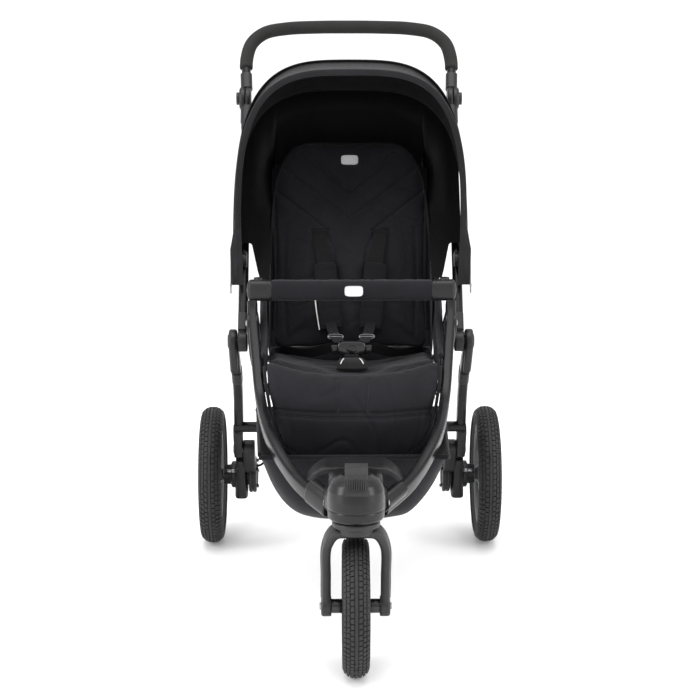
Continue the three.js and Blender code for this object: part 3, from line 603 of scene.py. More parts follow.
Wheel = namedtuple("Wheel", "x axle outer bead half hub hub_half")
REAR_AXLE = (0.390, 0.145)
FRONT_AXLE = (-0.419, 0.121)
REAR_WHEEL = Wheel(0.291, REAR_AXLE, outer=0.145, bead=0.112, half=0.0235, hub=0.019, hub_half=0.022)
FRONT_WHEEL = Wheel(0.0, FRONT_AXLE, outer=0.121, bead=0.090, half=0.0225, hub=0.017, hub_half=0.020)
SPOKES = 6
TREAD_DEPTH = 0.0030
TREAD_BLOCKS = 76
# A row of blocks from one share of the half-width to another, its shift round the tyre, and how full it is.
TREAD_ROWS = ((0.0, 0.105, 0.0, 1.0), (0.185, 0.430, 0.0, 0.78), (0.510, 0.700, 0.5, 0.76),
              (0.775, 0.930, 0.5, 0.72))


def tyre(name, wheel):
    """An air tyre with a round crown: fine cross cuts, and grooves that run round it, between the blocks."""
    x, at, outer, bead, half = wheel[:5]

    def crown(w):
        """Radius of the tread at share w of the half-width."""
        return outer - 0.0002 - 0.0125 * abs(w) ** 2.6

    profile = [(bead, half * 0.62), (bead + (outer - bead) * 0.30, half * 0.93),
               (bead + (outer - bead) * 0.55, half * 1.0)]
    profile += [(crown(w) - TREAD_DEPTH, half * w) for w in (0.93, 0.82, 0.68, 0.50, 0.32, 0.14)]
    profile = rounded(profile + [(r, -w) for r, w in reversed(profile)], 0.0035, 3)
    body = lathe(f"{name}_body", profile, TYRE, "X", (x, *at), 120)
    verts, faces = [], []
    for k in range(TREAD_BLOCKS):
        for side in (1, -1):
            for near, away, shift, fill in TREAD_ROWS:
                first = len(verts)
                for w in (near, (near + away) / 2, away):
                    for part in (0.0, fill):
                        turn = 2 * math.pi * (k + shift + part + 0.22 * w * side) / TREAD_BLOCKS
                        inset = 0.0 if w == (near + away) / 2 else 0.0003
                        for radius in (crown(w) - inset, crown(w) - TREAD_DEPTH - 0.0012):
                            verts.append((x + side * half * w, at[0] + radius * math.sin(turn),
                                          at[1] + radius * math.cos(turn)))
                for j in (0, 4):
                    a, b = first + j, first + j + 4
                    faces += [(a, a + 2, b + 2, b), (a + 1, b + 1, b + 3, a + 3),
                              (a, b, b + 1, a + 1), (a + 2, a + 3, b + 3, b + 2)]
                faces += [(first, first + 1, first + 3, first + 2), (first + 8, first + 10, first + 11, first + 9)]
    blocks = piece(f"{name}_blocks", verts, faces, TYRE, 30)
    side_rings = []
    for w, out in ((0.985, 0.30), (0.99, 0.44)):
        ring_at = bead + (outer - bead) * out
        for side in (1, -1):
            side_rings.append(turned(f"{name}_ring", [
                (ring_at - 0.0010, side * half * w - side * 0.0012),
                (ring_at - 0.0006, side * (half * w + 0.0006)), (ring_at + 0.0006, side * (half * w + 0.0006)),
                (ring_at + 0.0010, side * half * w - side * 0.0012)], 0.0003, 1, TYRE, "X", (x, *at), 96))
    return join(name, [body, blocks, *side_rings])


def rim(name, wheel):
    """A moulded rim: a lipped hoop, broad tapered spokes, and a stepped hub."""
    x, at, _, bead, half, hub, hub_half = wheel
    lip = half * 0.66
    hoop = rounded([
        (bead + 0.0035, lip), (bead + 0.0035, lip - 0.003), (bead - 0.001, lip - 0.004), (bead - 0.004, 0.003),
        (bead - 0.004, -0.003), (bead - 0.001, 0.004 - lip), (bead + 0.0035, 0.003 - lip), (bead + 0.0035, -lip),
        (bead - 0.009, -lip), (bead - 0.012, -lip + 0.004), (bead - 0.012, lip - 0.004), (bead - 0.009, lip),
    ], 0.0012, 2)
    parts = [lathe(f"{name}_hoop", hoop, RIM, "X", (x, *at), 96)]
    barrel = rounded([
        (0.0066, hub_half), (hub * 0.62, hub_half), (hub * 0.70, hub_half - 0.003), (hub, hub_half - 0.006),
        (hub, 0.006 - hub_half), (hub * 0.70, 0.003 - hub_half), (hub * 0.62, -hub_half), (0.0066, -hub_half),
    ], 0.001, 2)
    parts.append(lathe(f"{name}_hub", barrel, RIM, "X", (x, *at), 48))
    for k in range(SPOKES):
        turn = 2 * math.pi * k / SPOKES
        path = [Vector((x, at[0] + r * math.sin(turn), at[1] + r * math.cos(turn)))
                for r in np.linspace(hub * 0.86, bead - 0.009, 14)]

        def section(angle, share):
            flare = 1 + 0.8 * max(0, share - 0.7) + 0.5 * max(0, 0.2 - share)
            c, s = math.cos(angle), math.sin(angle)
            rib = 1 - 0.28 * max(0, 1 - abs(s) * 2.2) * (abs(c) > 0.3)
            return squared(angle, 0.0125 * (1 - 0.3 * share) * rib, 0.0115 * flare, 0.6, 0.7)

        parts.append(sweep(f"{name}_spoke", path, section, RIM, ends=0.001))
    return join(name, parts)


pair(lambda name: tyre(name, REAR_WHEEL), "rear_tyre_tread_{}", "rear_wheel_{}", "tyre", "rear_tyre_{}")
pair(lambda name: rim(name, REAR_WHEEL), "rear_rim_moulding_{}", "rear_wheel_{}", "rim_plastic", "rear_rim_{}")
ride(tyre("front_tyre_tread", FRONT_WHEEL), "front_wheel", "tyre", "front_tyre")
ride(rim("front_rim_moulding", FRONT_WHEEL), "front_wheel", "rim_plastic", "front_rim")


def hubcap(name):
    """A domed cap and a valve stem on the outer face of a rear wheel."""
    cap = turned(f"{name}_dome", [
        (0.0, 0.0), (0.013, 0.0), (0.013, 0.0018), (0.010, 0.0034), (0.0, 0.0042),
    ], 0.0008, 3, GLOSS, "X", (0.3100, *REAR_AXLE), 48)
    stem = [Vector((REAR_WHEEL.x + 0.004, REAR_AXLE[0] + 0.001, REAR_AXLE[1] + r))
            for r in (0.101, 0.094, 0.088, 0.082)]
    valve = sweep(f"{name}_valve", stem, oval(0.0034, 0.0034), TYRE, ends=0.0015)
    return join(name, [cap, valve])


pair(hubcap, "rear_hubcap_{}", "rear_wheel_{}", "gloss_plastic")

# ---- Nose, fork and footrest --------------------------------------------------------------------

STEER_Y = -0.459


def fork(name):
    """Two blade legs with a raised rib, from a round crown down to axle lugs and spacers."""
    parts = []
    path = spline([(0.012, -0.459, 0.266), (0.034, -0.458, 0.263), (0.048, -0.451, 0.240),
                   (0.050, -0.435, 0.180), (0.050, -0.420, 0.129), (0.050, -0.418, 0.112)], 40)

    def blade(angle, share):
        width = 0.0165 * (1 - 0.22 * share) if share > 0.25 else 0.0165
        return squared(angle, 0.0080, width, 0.42, 0.5)

    leg = bake(sweep("leg", path, blade, SATIN, ends=0.004))
    lug = turned("lug", [
        (0.0062, 0.041), (0.0165, 0.041), (0.0175, 0.0435), (0.0175, 0.0555), (0.0150, 0.0585),
        (0.0062, 0.0585)], 0.0012, 3, SATIN, "X", (0, *FRONT_AXLE), 48)
    rib = sweep("rib", [p + Vector((0.0076, 0, 0)) for p in path[10:34]], oval(0.0016, 0.0055), SATIN, ends=0.002)
    spacer = turned("spacer", [
        (0.0062, 0.0212), (0.0105, 0.0212), (0.0122, 0.0230), (0.0122, 0.0415), (0.0062, 0.0415),
    ], 0.0010, 3, GLOSS, "X", (0, *FRONT_AXLE), 40)
    for obj in (leg, lug, rib, spacer):
        parts += [obj, copied(bake(obj), "other", MIRROR)]
    crown = turned("crown", [
        (0.0, 0.2605), (0.029, 0.2605), (0.031, 0.263), (0.031, 0.2715), (0.038, 0.2725), (0.0400, 0.275),
        (0.0400, 0.2812), (0.0375, 0.2838), (0.0, 0.2838)], 0.0009, 3, SATIN, "Z", (0, STEER_Y, 0), 72)
    return join(name, [*parts, crown])


ride(fork("fork_moulding"), "front_fork", "plastic", "fork")


def nose(name):
    """The front housing: a dome over the steerer, a yoke and neck behind it, and a socket for each tube."""
    dome = turned("dome", [
        (0.0135, 0.2862), (0.0440, 0.2862), (0.0470, 0.290), (0.0476, 0.302), (0.0470, 0.3035),
        (0.0470, 0.3055), (0.0478, 0.307), (0.0480, 0.322), (0.0470, 0.336), (0.0430, 0.3475),
        (0.0360, 0.3560), (0.0250, 0.3620), (0.0120, 0.3645), (0.0, 0.3648), (0.0, 0.340), (0.0135, 0.338),
    ], 0.0011, 3, NOSE, "Z", (0, STEER_Y, 0), 96)
    rows = []
    along, around = 26, 40
    for j in range(along + 1):
        v = j / along
        y = -0.4480 + 0.0755 * v
        half = 0.0425 + 0.0145 * math.sin(math.pi * min(1, v * 1.1) / 2)
        low, high = 0.2875 - 0.0185 * v, 0.3300 - 0.0030 * v
        for i in range(around):
            across, rise = squared(2 * math.pi * i / around, half, (high - low) / 2, 0.55, 0.6)
            rows.append((across, y, (low + high) / 2 + rise))
    yoke = piece("yoke", rows, tube_faces(around, along + 1), NOSE)
    spine_path = spline([(0, -0.452, 0.343), (0, -0.430, 0.3405), (0, -0.400, 0.3345), (0, -0.366, 0.3300)], 24)
    spine = sweep("spine", spine_path, oval(0.0285, 0.0065, 3), NOSE, ends=0.003)
    neck_path = spline([(0, -0.448, 0.3370), (0, -0.425, 0.3400), (0, -0.398, 0.3370), (0, -0.362, 0.3270)], 24)
    neck = sweep("neck", neck_path, oval(0.0455, 0.0180, 4.5), NOSE, ends=0.006)
    parts = [dome, yoke, spine, neck]
    for side in (1, -1):
        shell_path = spline([(side * 0.043, -0.398, 0.2915), (side * 0.058, -0.380, 0.2985),
                             (side * 0.074, -0.359, 0.3060)], 20)
        parts.append(sweep("socket", shell_path, oval(0.0145, 0.0225, 2.6), NOSE, side=(0.8, 0.6, 0), ends=0.004))
        for y in (-0.432, -0.395):
            parts.append(turned("screw", [
                (0.0, 0.0), (0.0046, 0.0), (0.0046, 0.0012), (0.0030, 0.0022), (0.0, 0.0022),
            ], 0.0004, 2, STEEL, "X", (side * 0.0545, y, 0.3050), 20))
    return join(name, parts)


ride(nose("nose_moulding"), "front_frame", "plastic", "nose_housing")

FOOTREST_HALF, FOOTREST_Y, FOOTREST_Z, FOOTREST_THICK = 0.094, -0.310, 0.3450, 0.0085


def footrest(name):
    """A crescent tread plate with drooping ends."""
    def drop(x):
        """How far the plate droops past its flat middle."""
        past = max(0.0, abs(x) - 0.048) / 0.046
        return 0.038 * past ** 1.6

    def top(u, v):
        x = FOOTREST_HALF * (2 * u - 1)
        reach = math.sqrt(max(0.0, 1 - (abs(x) / 0.098) ** 4))
        y = FOOTREST_Y - 0.042 * (2 * v - 1) * reach
        edge = min(1.0, min(u, 1 - u, v, 1 - v) / 0.06)
        return (x, y, FOOTREST_Z - drop(x) - 0.0028 * (1 - edge) ** 2)

    def under(u, v):
        x, y, z = top(u, v)
        return (x, y, z - FOOTREST_THICK)

    return join(name, [solid_sheet("tread", top, under, 60, 14, PLASTIC)])


ride(footrest("footrest_tread"), "front_frame", "plastic", "footrest")

# ---- CAD nodes that stay ------------------------------------------------------------------------


def finish_cad(node, look, bevel=0.0008):
    """A CAD node that stays as it is: welded and softly bevelled by modifiers, with its own material."""
    obj = frame["nodes"][node]
    obj.data.materials.clear()
    obj.data.materials.append(look)
    weld = obj.modifiers.new("weld", "WELD")
    weld.merge_threshold = 0.00001
    if bevel:
        soft = obj.modifiers.new("bevel", "BEVEL")
        soft.width = bevel
        soft.segments = 2
        soft.limit_method = "ANGLE"
        soft.angle_limit = math.radians(32)
        soft.harden_normals = True
    obj.data.polygons.foreach_set("use_smooth", [True] * len(obj.data.polygons))


for node in ("front_axle", "recline_shaft", "brake_pin_left", "brake_pin_right"):
    finish_cad(node, STEEL, 0)
for node in ("rear_crossbar", "seat_pan"):
    finish_cad(node, PAINT)
for node in ("canopy_pivot_left", "canopy_pivot_right", "brake_pedal", "seat_back_board", "tilt_button_left",
             "tilt_button_right", "bar_release_button_left", "bar_release_button_right"):
    finish_cad(node, PLASTIC)
finish_cad("swivel_lock_lever", TYRE)
finish_cad("buckle_button", GLOSS)


def lever_ribs(name):
    """Raised grip ribs on the front of the swivel lock."""
    low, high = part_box("swivel_lock_lever")
    ribs = []
    for k in range(-4, 5):
        x = k * 0.0037
        ribs.append(box("rib", (x - 0.0010, low.y - 0.0012, low.z + 0.010),
                        (x + 0.0010, low.y + 0.0024, high.z - 0.006), TYRE, 0.0005, 2))
    return join(name, ribs)


ride(lever_ribs("swivel_lock_ribs"), "lock_lever", "plastic")

# ---- Front frame tubes and fold hubs ------------------------------------------------------------

FOLD = (0.140, 0.478)
LEG_PIVOT = (0.338, 0.214)
FRONT_TUBE = [(0.190, 0.060, 0.566), (0.189, 0.048, 0.545), (0.182, 0.0, 0.485), (0.170, -0.090, 0.408),
              (0.147, -0.210, 0.361), (0.101, -0.310, 0.313), (0.048, -0.392, 0.288)]


def front_tube(name):
    """An oval painted tube from the bumper bar's socket down to the nose."""
    return sweep(name, spline(FRONT_TUBE, 90), oval(0.0098, 0.0168, 4.2), PAINT, ends=0.001)


pair(front_tube, "front_tube_skin_{}", "front_frame", "frame_paint", "front_tube_{}")


def fold_hub(name):
    """The fold joint: a long side plate, its pin, and two rivets."""
    rivets = ((0.044, 0.530), (0.095, 0.503))
    parts = [plate("plate", belt([(*FOLD, 0.0315), (*rivets[0], 0.0215), (0.210, 0.430, 0.0155)]),
                   0.1785, 0.1995, PLASTIC, 0.0022)]
    parts.append(turned("pin", [
        (0.0, 0.190), (0.0068, 0.190), (0.0068, 0.2395), (0.0, 0.2395)], 0.0006, 2, STEEL, "X", (0, *FOLD), 32))
    for y, z in rivets:
        parts.append(turned("rivet", [
            (0.0, 0.198), (0.0062, 0.198), (0.0062, 0.2004), (0.0040, 0.2024), (0.0, 0.2030),
        ], 0.0005, 2, STEEL, "X", (0, y, z), 24))
    return join(name, parts)


pair(fold_hub, "fold_hub_cover_{}", "front_frame", "plastic", "fold_hub_{}")

# ---- Rear legs ----------------------------------------------------------------------------------


def rear_leg(name):
    """A squared tube between a long fold cover and a foot housing over the suspension pivot."""
    path = spline([(0.2315, 0.150, 0.464), (0.2280, 0.206, 0.396), (0.2295, 0.280, 0.297),
                   (0.2335, 0.330, 0.225)], 40)
    tube = sweep("tube", path, oval(0.0098, 0.0146, 4.0), PAINT, ends=0.001)
    cover = plate("cover", belt([(*FOLD, 0.0238), (0.182, 0.424, 0.0180)]), 0.2238, 0.2402, PLASTIC, 0.0045)
    collar = sweep("collar", path[9:14], oval(0.0108, 0.0158, 3.4), PLASTIC, ends=0.001)
    foot = plate("foot", belt([(*LEG_PIVOT, 0.0198), (0.306, 0.258, 0.0150)]), 0.2255, 0.2425, PLASTIC, 0.0025)
    cap = turned("cap", [
        (0.0, 0.2420), (0.0120, 0.2420), (0.0120, 0.2436), (0.0080, 0.2446), (0.0, 0.2448),
    ], 0.0005, 2, GLOSS, "X", (0, *LEG_PIVOT), 32)
    return join(name, [tube, cover, collar, foot, cap])


pair(rear_leg, "rear_leg_skin_{}", "rear_legs", "frame_paint", "rear_leg_{}")


def suspension(name):
    """The swing arm: a knuckle at its pivot, a tapered housing down to the axle, a brake drum and a hub boss."""
    knuckle = plate("knuckle", belt([(*LEG_PIVOT, 0.0185), (0.366, 0.174, 0.0200)]), 0.1995, 0.2240, PLASTIC,
                    0.0028)
    top, foot = Vector((0.2305, 0.3545, 0.1905)), Vector((0.2305, 0.3935, 0.1080))

    def section(angle, share):
        groove = 1 - 0.05 * (abs(share - 0.14) < 0.02)
        return squared(angle, (0.0100 + 0.0040 * share) * groove, (0.0165 + 0.0110 * share) * groove, 0.45, 0.5)

    housing = sweep("housing", [top.lerp(foot, t) for t in np.linspace(0, 1, 42)], section, PLASTIC, ends=0.0035)
    drum = turned("drum", [
        (0.0, 0.1950), (0.0220, 0.1950), (0.0240, 0.1972), (0.0365, 0.1980), (0.0385, 0.2000),
        (0.0385, 0.2045), (0.0372, 0.2050), (0.0372, 0.2070), (0.0385, 0.2075), (0.0385, 0.2120),
        (0.0365, 0.2140), (0.0230, 0.2145), (0.0230, 0.2200), (0.0, 0.2200),
    ], 0.0008, 2, PLASTIC, "X", (0, *REAR_AXLE), 72)
    boss = turned("boss", [
        (0.0, 0.2400), (0.0270, 0.2400), (0.0285, 0.2425), (0.0285, 0.2500), (0.0215, 0.2530),
        (0.0200, 0.2670), (0.0, 0.2670)], 0.001, 3, PLASTIC, "X", (0, *REAR_AXLE), 56)
    axle = lathe("axle", [(0.0, 0.262), (0.0061, 0.262), (0.0061, 0.3098), (0.0, 0.3098)], STEEL, "X",
                 (0, *REAR_AXLE), 32)
    parts = [housing, drum, boss, knuckle, axle]
    bolts, circle = 5, 0.030
    for k in range(bolts):
        turn = 2 * math.pi * k / bolts + 0.3
        at = (0, REAR_AXLE[0] + circle * math.sin(turn), REAR_AXLE[1] + circle * math.cos(turn))
        parts.append(turned("bolt", [
            (0.0, 0.1935), (0.0030, 0.1935), (0.0038, 0.1945), (0.0038, 0.1985), (0.0, 0.1985),
        ], 0.0004, 2, GLOSS, "X", at, 6))
    return join(name, parts)


pair(suspension, "suspension_casting_{}", "swing_arm_{}", "plastic", "suspension_arm_{}")

# ---- Handle -------------------------------------------------------------------------------------

TILT = (0.420, 0.940)
TUBE_X, TUBE_RADIUS = 0.213, 0.0098
GRIP_RADIUS, FOAM_RADIUS = 0.0094, 0.0137
TUBE_RUN = Vector((0, TILT[0] - FOLD[0], TILT[1] - FOLD[1]))
GRIP_HALF = [(0.213, 0.431, 0.962), (0.214, 0.444, 0.983), (0.2135, 0.470, 1.022), (0.203, 0.493, 1.053),
             (0.176, 0.510, 1.074), (0.130, 0.520, 1.083), (0.065, 0.5255, 1.086)]
GRIP_PATH = GRIP_HALF + [(0.0, 0.526, 1.0865)] + [(-x, y, z) for x, y, z in reversed(GRIP_HALF)]


def handle_tube(name):
    """A round painted tube with a moulded clamp near each end, and the fold's eye and cap."""
    start = Vector((TUBE_X, *FOLD))
    path = [start + TUBE_RUN * t for t in np.linspace(0.035, 0.955, 40)]
    parts = [sweep("tube", path, oval(TUBE_RADIUS, TUBE_RADIUS), PAINT, ends=0.001)]
    for low, high, grow in ((0.04, 0.105, 0.0003), (0.870, 0.955, 0.0016)):
        clamp = [start + TUBE_RUN * t for t in np.linspace(low, high, 10)]
        parts.append(sweep("clamp", clamp, oval(0.0100 + grow * 0.2, 0.0112 + grow, 3), PLASTIC, ends=0.002))
    parts.append(turned("eye", [
        (0.0078, 0.2035), (0.0185, 0.2035), (0.0208, 0.2055), (0.0208, 0.2205), (0.0185, 0.2225),
        (0.0078, 0.2225)], 0.001, 3, PLASTIC, "X", (0, *FOLD), 56))
    parts.append(turned("cap", [
        (0.0, 0.2396), (0.0125, 0.2396), (0.0135, 0.2406), (0.0125, 0.2424), (0.0, 0.2430),
    ], 0.0006, 3, GLOSS, "X", (0, *FOLD), 40))
    return join(name, parts)


pair(handle_tube, "handle_tube_skin_{}", "handle_frame", "frame_paint", "handle_tube_{}")


def tilt_housing(name):
    """The fixed half of the tilt joint: a stepped disc, on a sleeve round the tube."""
    disc = turned("disc", [
        (0.0, 0.2032), (0.0195, 0.2032), (0.0232, 0.2062), (0.0238, 0.2090), (0.0238, 0.2130),
        (0.0228, 0.2146), (0.0, 0.2146)], 0.0009, 3, PLASTIC, "X", (0, *TILT), 72)
    run = TUBE_RUN.normalized()
    path = [Vector((0.2125, *TILT)) - run * d for d in np.linspace(0.016, 0.056, 12)]
    sleeve = sweep("sleeve", path, oval(0.0124, 0.0126, 2.4), PLASTIC, ends=0.002)
    return join(name, [disc, sleeve])


pair(tilt_housing, "tilt_housing_cover_{}", "handle_frame", "plastic", "tilt_housing_{}")


def grip_bar(name):
    """The arched bar, with the turning half of each tilt joint on its ends."""
    parts = [sweep("bar", spline(GRIP_PATH, 150), oval(GRIP_RADIUS, GRIP_RADIUS), PAINT, ends=0.0005)]
    for side in (1, -1):
        disc = bake(turned("disc", [
            (0.0137, 0.2160), (0.0228, 0.2160), (0.0238, 0.2172), (0.0238, 0.2225), (0.0226, 0.2262),
            (0.0190, 0.2278), (0.0137, 0.2278)], 0.0009, 3, PLASTIC, "X", (0, *TILT), 72))
        if side < 0:
            disc.data.transform(MIRROR)
            disc.data.flip_normals()
        parts.append(disc)
        ahead = (Vector(GRIP_PATH[1]) - Vector(GRIP_PATH[0])).normalized()
        start = Vector(GRIP_PATH[0])
        sleeve_path = [Vector((side * p.x, p.y, p.z))
                       for p in (start + ahead * d for d in np.linspace(-0.004, 0.030, 12))]
        parts.append(sweep("sleeve", sleeve_path, oval(0.0122, 0.0126, 2.6), PLASTIC, ends=0.0015))
    return join(name, parts)


ride(grip_bar("handle_bar_skin"), "handle_grip", "frame_paint", "handle_bar")


def grip_foam(name):
    """Foam round the arch: slightly uneven, with rolled ends and a fine moulding line."""
    count = 400
    path = spline(GRIP_PATH, count)[int(count * 0.072):int(count * 0.928)][::2]

    def section(angle, share):
        at = path[min(len(path) - 1, int(share * (len(path) - 1)))]
        swell = 0.00025 * noise.noise(Vector((at.x * 14, angle, 3.7)))
        line = 0.00035 * max(0, 1 - abs(math.sin(angle / 2 + math.pi / 4)) * 26)
        r = FOAM_RADIUS + swell + line
        return (r * math.cos(angle), r * math.sin(angle))

    return sweep(name, path, section, FOAM, ends=0.0042, sharp=60)


foam = grip_foam("handle_foam_sleeve")
ride(foam, "handle_grip", "grip_foam", "handle_foam")

# ---- Bumper bar ---------------------------------------------------------------------------------

# The bumper bar's place in Y and Z, and the half-length of its cover.
BAR_AT = (0.060, 0.591)
BAR_COVER_HALF = 0.1526


def bar_cover(name):
    """Fabric pulled round the bar, with small folds that gather towards its ends."""
    path = spline([(x, BAR_AT[0] - 0.0006 * math.cos(x * 9), BAR_AT[1])
                   for x in np.linspace(-BAR_COVER_HALF, BAR_COVER_HALF, 9)], 210)

    def section(angle, share):
        x = -BAR_COVER_HALF + 2 * BAR_COVER_HALF * share
        deep, tall = 0.0150, 0.0195
        pull = 0.7 + 0.9 * abs(2 * share - 1) ** 3
        fold = 0.0008 * pull * noise.noise(Vector((x * 62, angle * 0.9, 1.3)))
        fold += 0.0005 * noise.noise(Vector((x * 150 + angle * 2, angle * 1.6, 7.1)))
        return squared(angle, deep + fold, tall + fold, 0.62, 0.62)

    return sweep(name, path, section, SEAT, side=(0, 1, 0), ends=0.0008, sharp=70)


cover = bar_cover("bumper_bar_cover")
ride(cover, "bar", "seat_fabric", "bumper_bar_core")


def bar_end(name):
    """A rounded end cap with a parting line, and the tongue that drops into the frame's socket."""
    parts = []

    def section(angle, share):
        lip = 1.0 - 0.045 * max(0, 1 - share / 0.06)
        groove = 1.0 - 0.03 * (abs(share - 0.16) < 0.014)
        k = lip * groove
        return squared(angle, 0.0157 * k, 0.0203 * k, 0.62, 0.62)

    path = [Vector((x, *BAR_AT)) for x in np.linspace(0.1537, 0.1930, 36)]
    parts.append(sweep("cap", path, section, PLASTIC, side=(0, 1, 0), ends=0.0075, sharp=50))
    parts.append(box("tongue", (0.1842, 0.0530, 0.5626), (0.1958, 0.0670, 0.5790), PLASTIC, 0.0015, 2))
    return join(name, parts)


pair(bar_end, "bumper_bar_cap_{}", "bar", "plastic", "bumper_bar_end_{}")

# ---- Padded fabric ------------------------------------------------------------------------------


def coords(obj):
    out = np.empty(len(obj.data.vertices) * 3)
    obj.data.vertices.foreach_get("co", out)
    return out.reshape(-1, 3)


def set_coords(obj, points):
    obj.data.vertices.foreach_set("co", np.ascontiguousarray(points, float).ravel())
    obj.data.update()


CLOTH_STEPS = 20


def puff(obj, voxel, pressure, limit, held):
    """Remeshes a pad and blows it up as cloth. held(points) is 1 where it is sewn down and 0 where free."""
    look = obj.data.materials[0]
    remesh = obj.modifiers.new("remesh", "REMESH")
    remesh.mode = "VOXEL"
    remesh.voxel_size = voxel
    bake(obj)
    smooth = obj.modifiers.new("smooth", "SMOOTH")
    smooth.iterations = 3
    bake(obj)
    start = coords(obj)
    group = obj.vertex_groups.new(name="held")
    for index, weight in enumerate(held(start)):
        if weight > 0:
            group.add([index], float(weight), "REPLACE")
    cloth = obj.modifiers.new("cloth", "CLOTH")
    cloth.settings.quality = 5
    cloth.settings.mass = 0.25
    cloth.settings.tension_stiffness = 12
    cloth.settings.compression_stiffness = 12
    cloth.settings.shear_stiffness = 4
    cloth.settings.bending_stiffness = 0.4
    cloth.settings.vertex_group_mass = "held"
    cloth.settings.use_pressure = True
    cloth.settings.uniform_pressure_force = pressure
    cloth.settings.effector_weights.gravity = 0
    cloth.collision_settings.use_collision = False
    for step in range(1, CLOTH_STEPS + 1):
        bpy.context.scene.frame_set(step)
    shown = obj.evaluated_get(bpy.context.evaluated_depsgraph_get())
    moved = np.empty(len(start) * 3)
    shown.data.vertices.foreach_get("co", moved)
    moved = moved.reshape(-1, 3) - start
    far = np.linalg.norm(moved, axis=1, keepdims=True)
    obj.modifiers.clear()
    obj.vertex_groups.clear()
    set_coords(obj, start + moved * np.minimum(1, limit / np.maximum(far, 1e-9)))
    bpy.context.scene.frame_set(1)
    finer = obj.modifiers.new("finer", "SUBSURF")
    finer.levels = finer.render_levels = 1
    bake(obj)
    obj.data.materials.clear()
    obj.data.materials.append(look)
    obj.data.polygons.foreach_set("use_smooth", [True] * len(obj.data.polygons))
    return obj


def distance_to(line, x, z):
    """Distance from points (x, z) to a polyline."""
    best = np.full(len(x), 1e9)
    for (ax, az), (bx, bz) in zip(line, line[1:]):
        run = (bx - ax) ** 2 + (bz - az) ** 2
        t = np.clip(((x - ax) * (bx - ax) + (z - az) * (bz - az)) / run, 0, 1)
        best = np.minimum(best, np.hypot(x - ax - t * (bx - ax), z - az - t * (bz - az)))
    return best


def seam_dent(near, *dents):
    """How deep the cloth is pulled in, at a distance from a seam. Each dent is (depth, width)."""
    return sum(depth * np.exp(-(near / width) ** 2) for depth, width in dents)


def folds(points, scale, stretch, seed):
    """Smooth noise for creases, at each point, stretched along the axes."""
    scaled = points * scale * np.array(stretch)
    return np.array([noise.noise(Vector((x, y, z + seed))) for x, y, z in scaled])


def creases(obj, direction, depth, scale, stretch, seed, mask):
    """Presses creases into a pad: sharp valleys between broad swells, along a direction."""
    points = coords(obj)
    broad = folds(points, scale, stretch, seed)
    fine = folds(points, scale * 2.3, stretch, seed + 5)
    height = 0.6 * broad - 0.8 * np.exp(-(broad / 0.09) ** 2) * 0.5 + 0.25 * fine
    set_coords(obj, points + np.outer(height * (depth * mask(points)), direction))


def surface_points(obj, line, direction, spacing):
    """Points along a line projected onto a piece from outside, against a direction, with their normals."""
    bpy.context.view_layer.update()
    direction = Vector(direction).normalized()
    out = []
    for a, b in zip(line, line[1:]):
        a, b = Vector(a), Vector(b)
        steps = max(1, round((b - a).length / spacing))
        for k in range(steps):
            at = a.lerp(b, (k + 0.5) / steps)
            hit, where, normal, _ = obj.ray_cast(at + direction * 0.15, -direction, distance=0.3)
            if hit:
                out.append((where, normal, (b - a).normalized()))
    return out


STITCH_PITCH = 0.0056


def stitches(name, spots, look, length=0.0034, radius=0.00055):
    """Short thread stitches, one at each (point, normal, run)."""
    verts, faces = [], []
    sides = 6
    for at, normal, run in spots:
        run = (run - normal * run.dot(normal)).normalized()
        across = normal.cross(run)
        first = len(verts)
        for t, r, sink in ((-0.5, 0.35, 0.7), (-0.36, 0.9, 0.1), (0.36, 0.9, 0.1), (0.5, 0.35, 0.7)):
            for k in range(sides):
                a = 2 * math.pi * k / sides
                verts.append(at + run * length * t + across * radius * r * math.cos(a)
                             + normal * radius * (r * math.sin(a) - sink + 0.5))
        for j in range(3):
            for k in range(sides):
                p, q = first + j * sides + k, first + j * sides + (k + 1) % sides
                faces.append((p, q, q + sides, p + sides))
        faces.append(tuple(first + k for k in range(sides - 1, -1, -1)))
        faces.append(tuple(first + 3 * sides + k for k in range(sides)))
    return piece(name, verts, faces, look, 60)

# ---- Seat ---------------------------------------------------------------------------------------

RECLINE = Vector(next(joint["pos_m"] for joint in frame["joints"] if joint["name"] == "recline"))
BACK_LEAN = math.radians(22)
BACK_OUT = Vector((0, -math.cos(BACK_LEAN), math.sin(BACK_LEAN)))
BACK_UP = Vector((0, math.sin(BACK_LEAN), math.cos(BACK_LEAN)))


def on_back(x, out, up):
    """A point on the seat back: across, out of its face towards the child, and up from its hinge."""
    return Vector((x, RECLINE.y, RECLINE.z)) + BACK_OUT * out + BACK_UP * up


def back_space(points):
    """Columns x, out and up of points on the seat back."""
    rel = points - np.array([0, RECLINE.y, RECLINE.z])
    return points[:, 0], rel @ np.array(BACK_OUT), rel @ np.array(BACK_UP)


QUILT = [
    [(-0.096, 0.430), (0.0, 0.348), (0.096, 0.430)],
    [(-0.138, 0.398), (0.0, 0.286), (0.138, 0.398)],
    [(-0.152, 0.350), (-0.052, 0.266), (-0.034, 0.222), (-0.027, 0.160)],
    [(0.152, 0.350), (0.052, 0.266), (0.034, 0.222), (0.027, 0.160)],
]
PAD_SIDE = [[(-0.128, 0.035), (-0.134, 0.150), (-0.132, 0.270)], [(0.128, 0.035), (0.134, 0.150), (0.132, 0.270)]]
SLOTS = [[(side * 0.0625 - 0.017, 0.2635), (side * 0.0625 + 0.017, 0.2635)] for side in (-1, 1)]


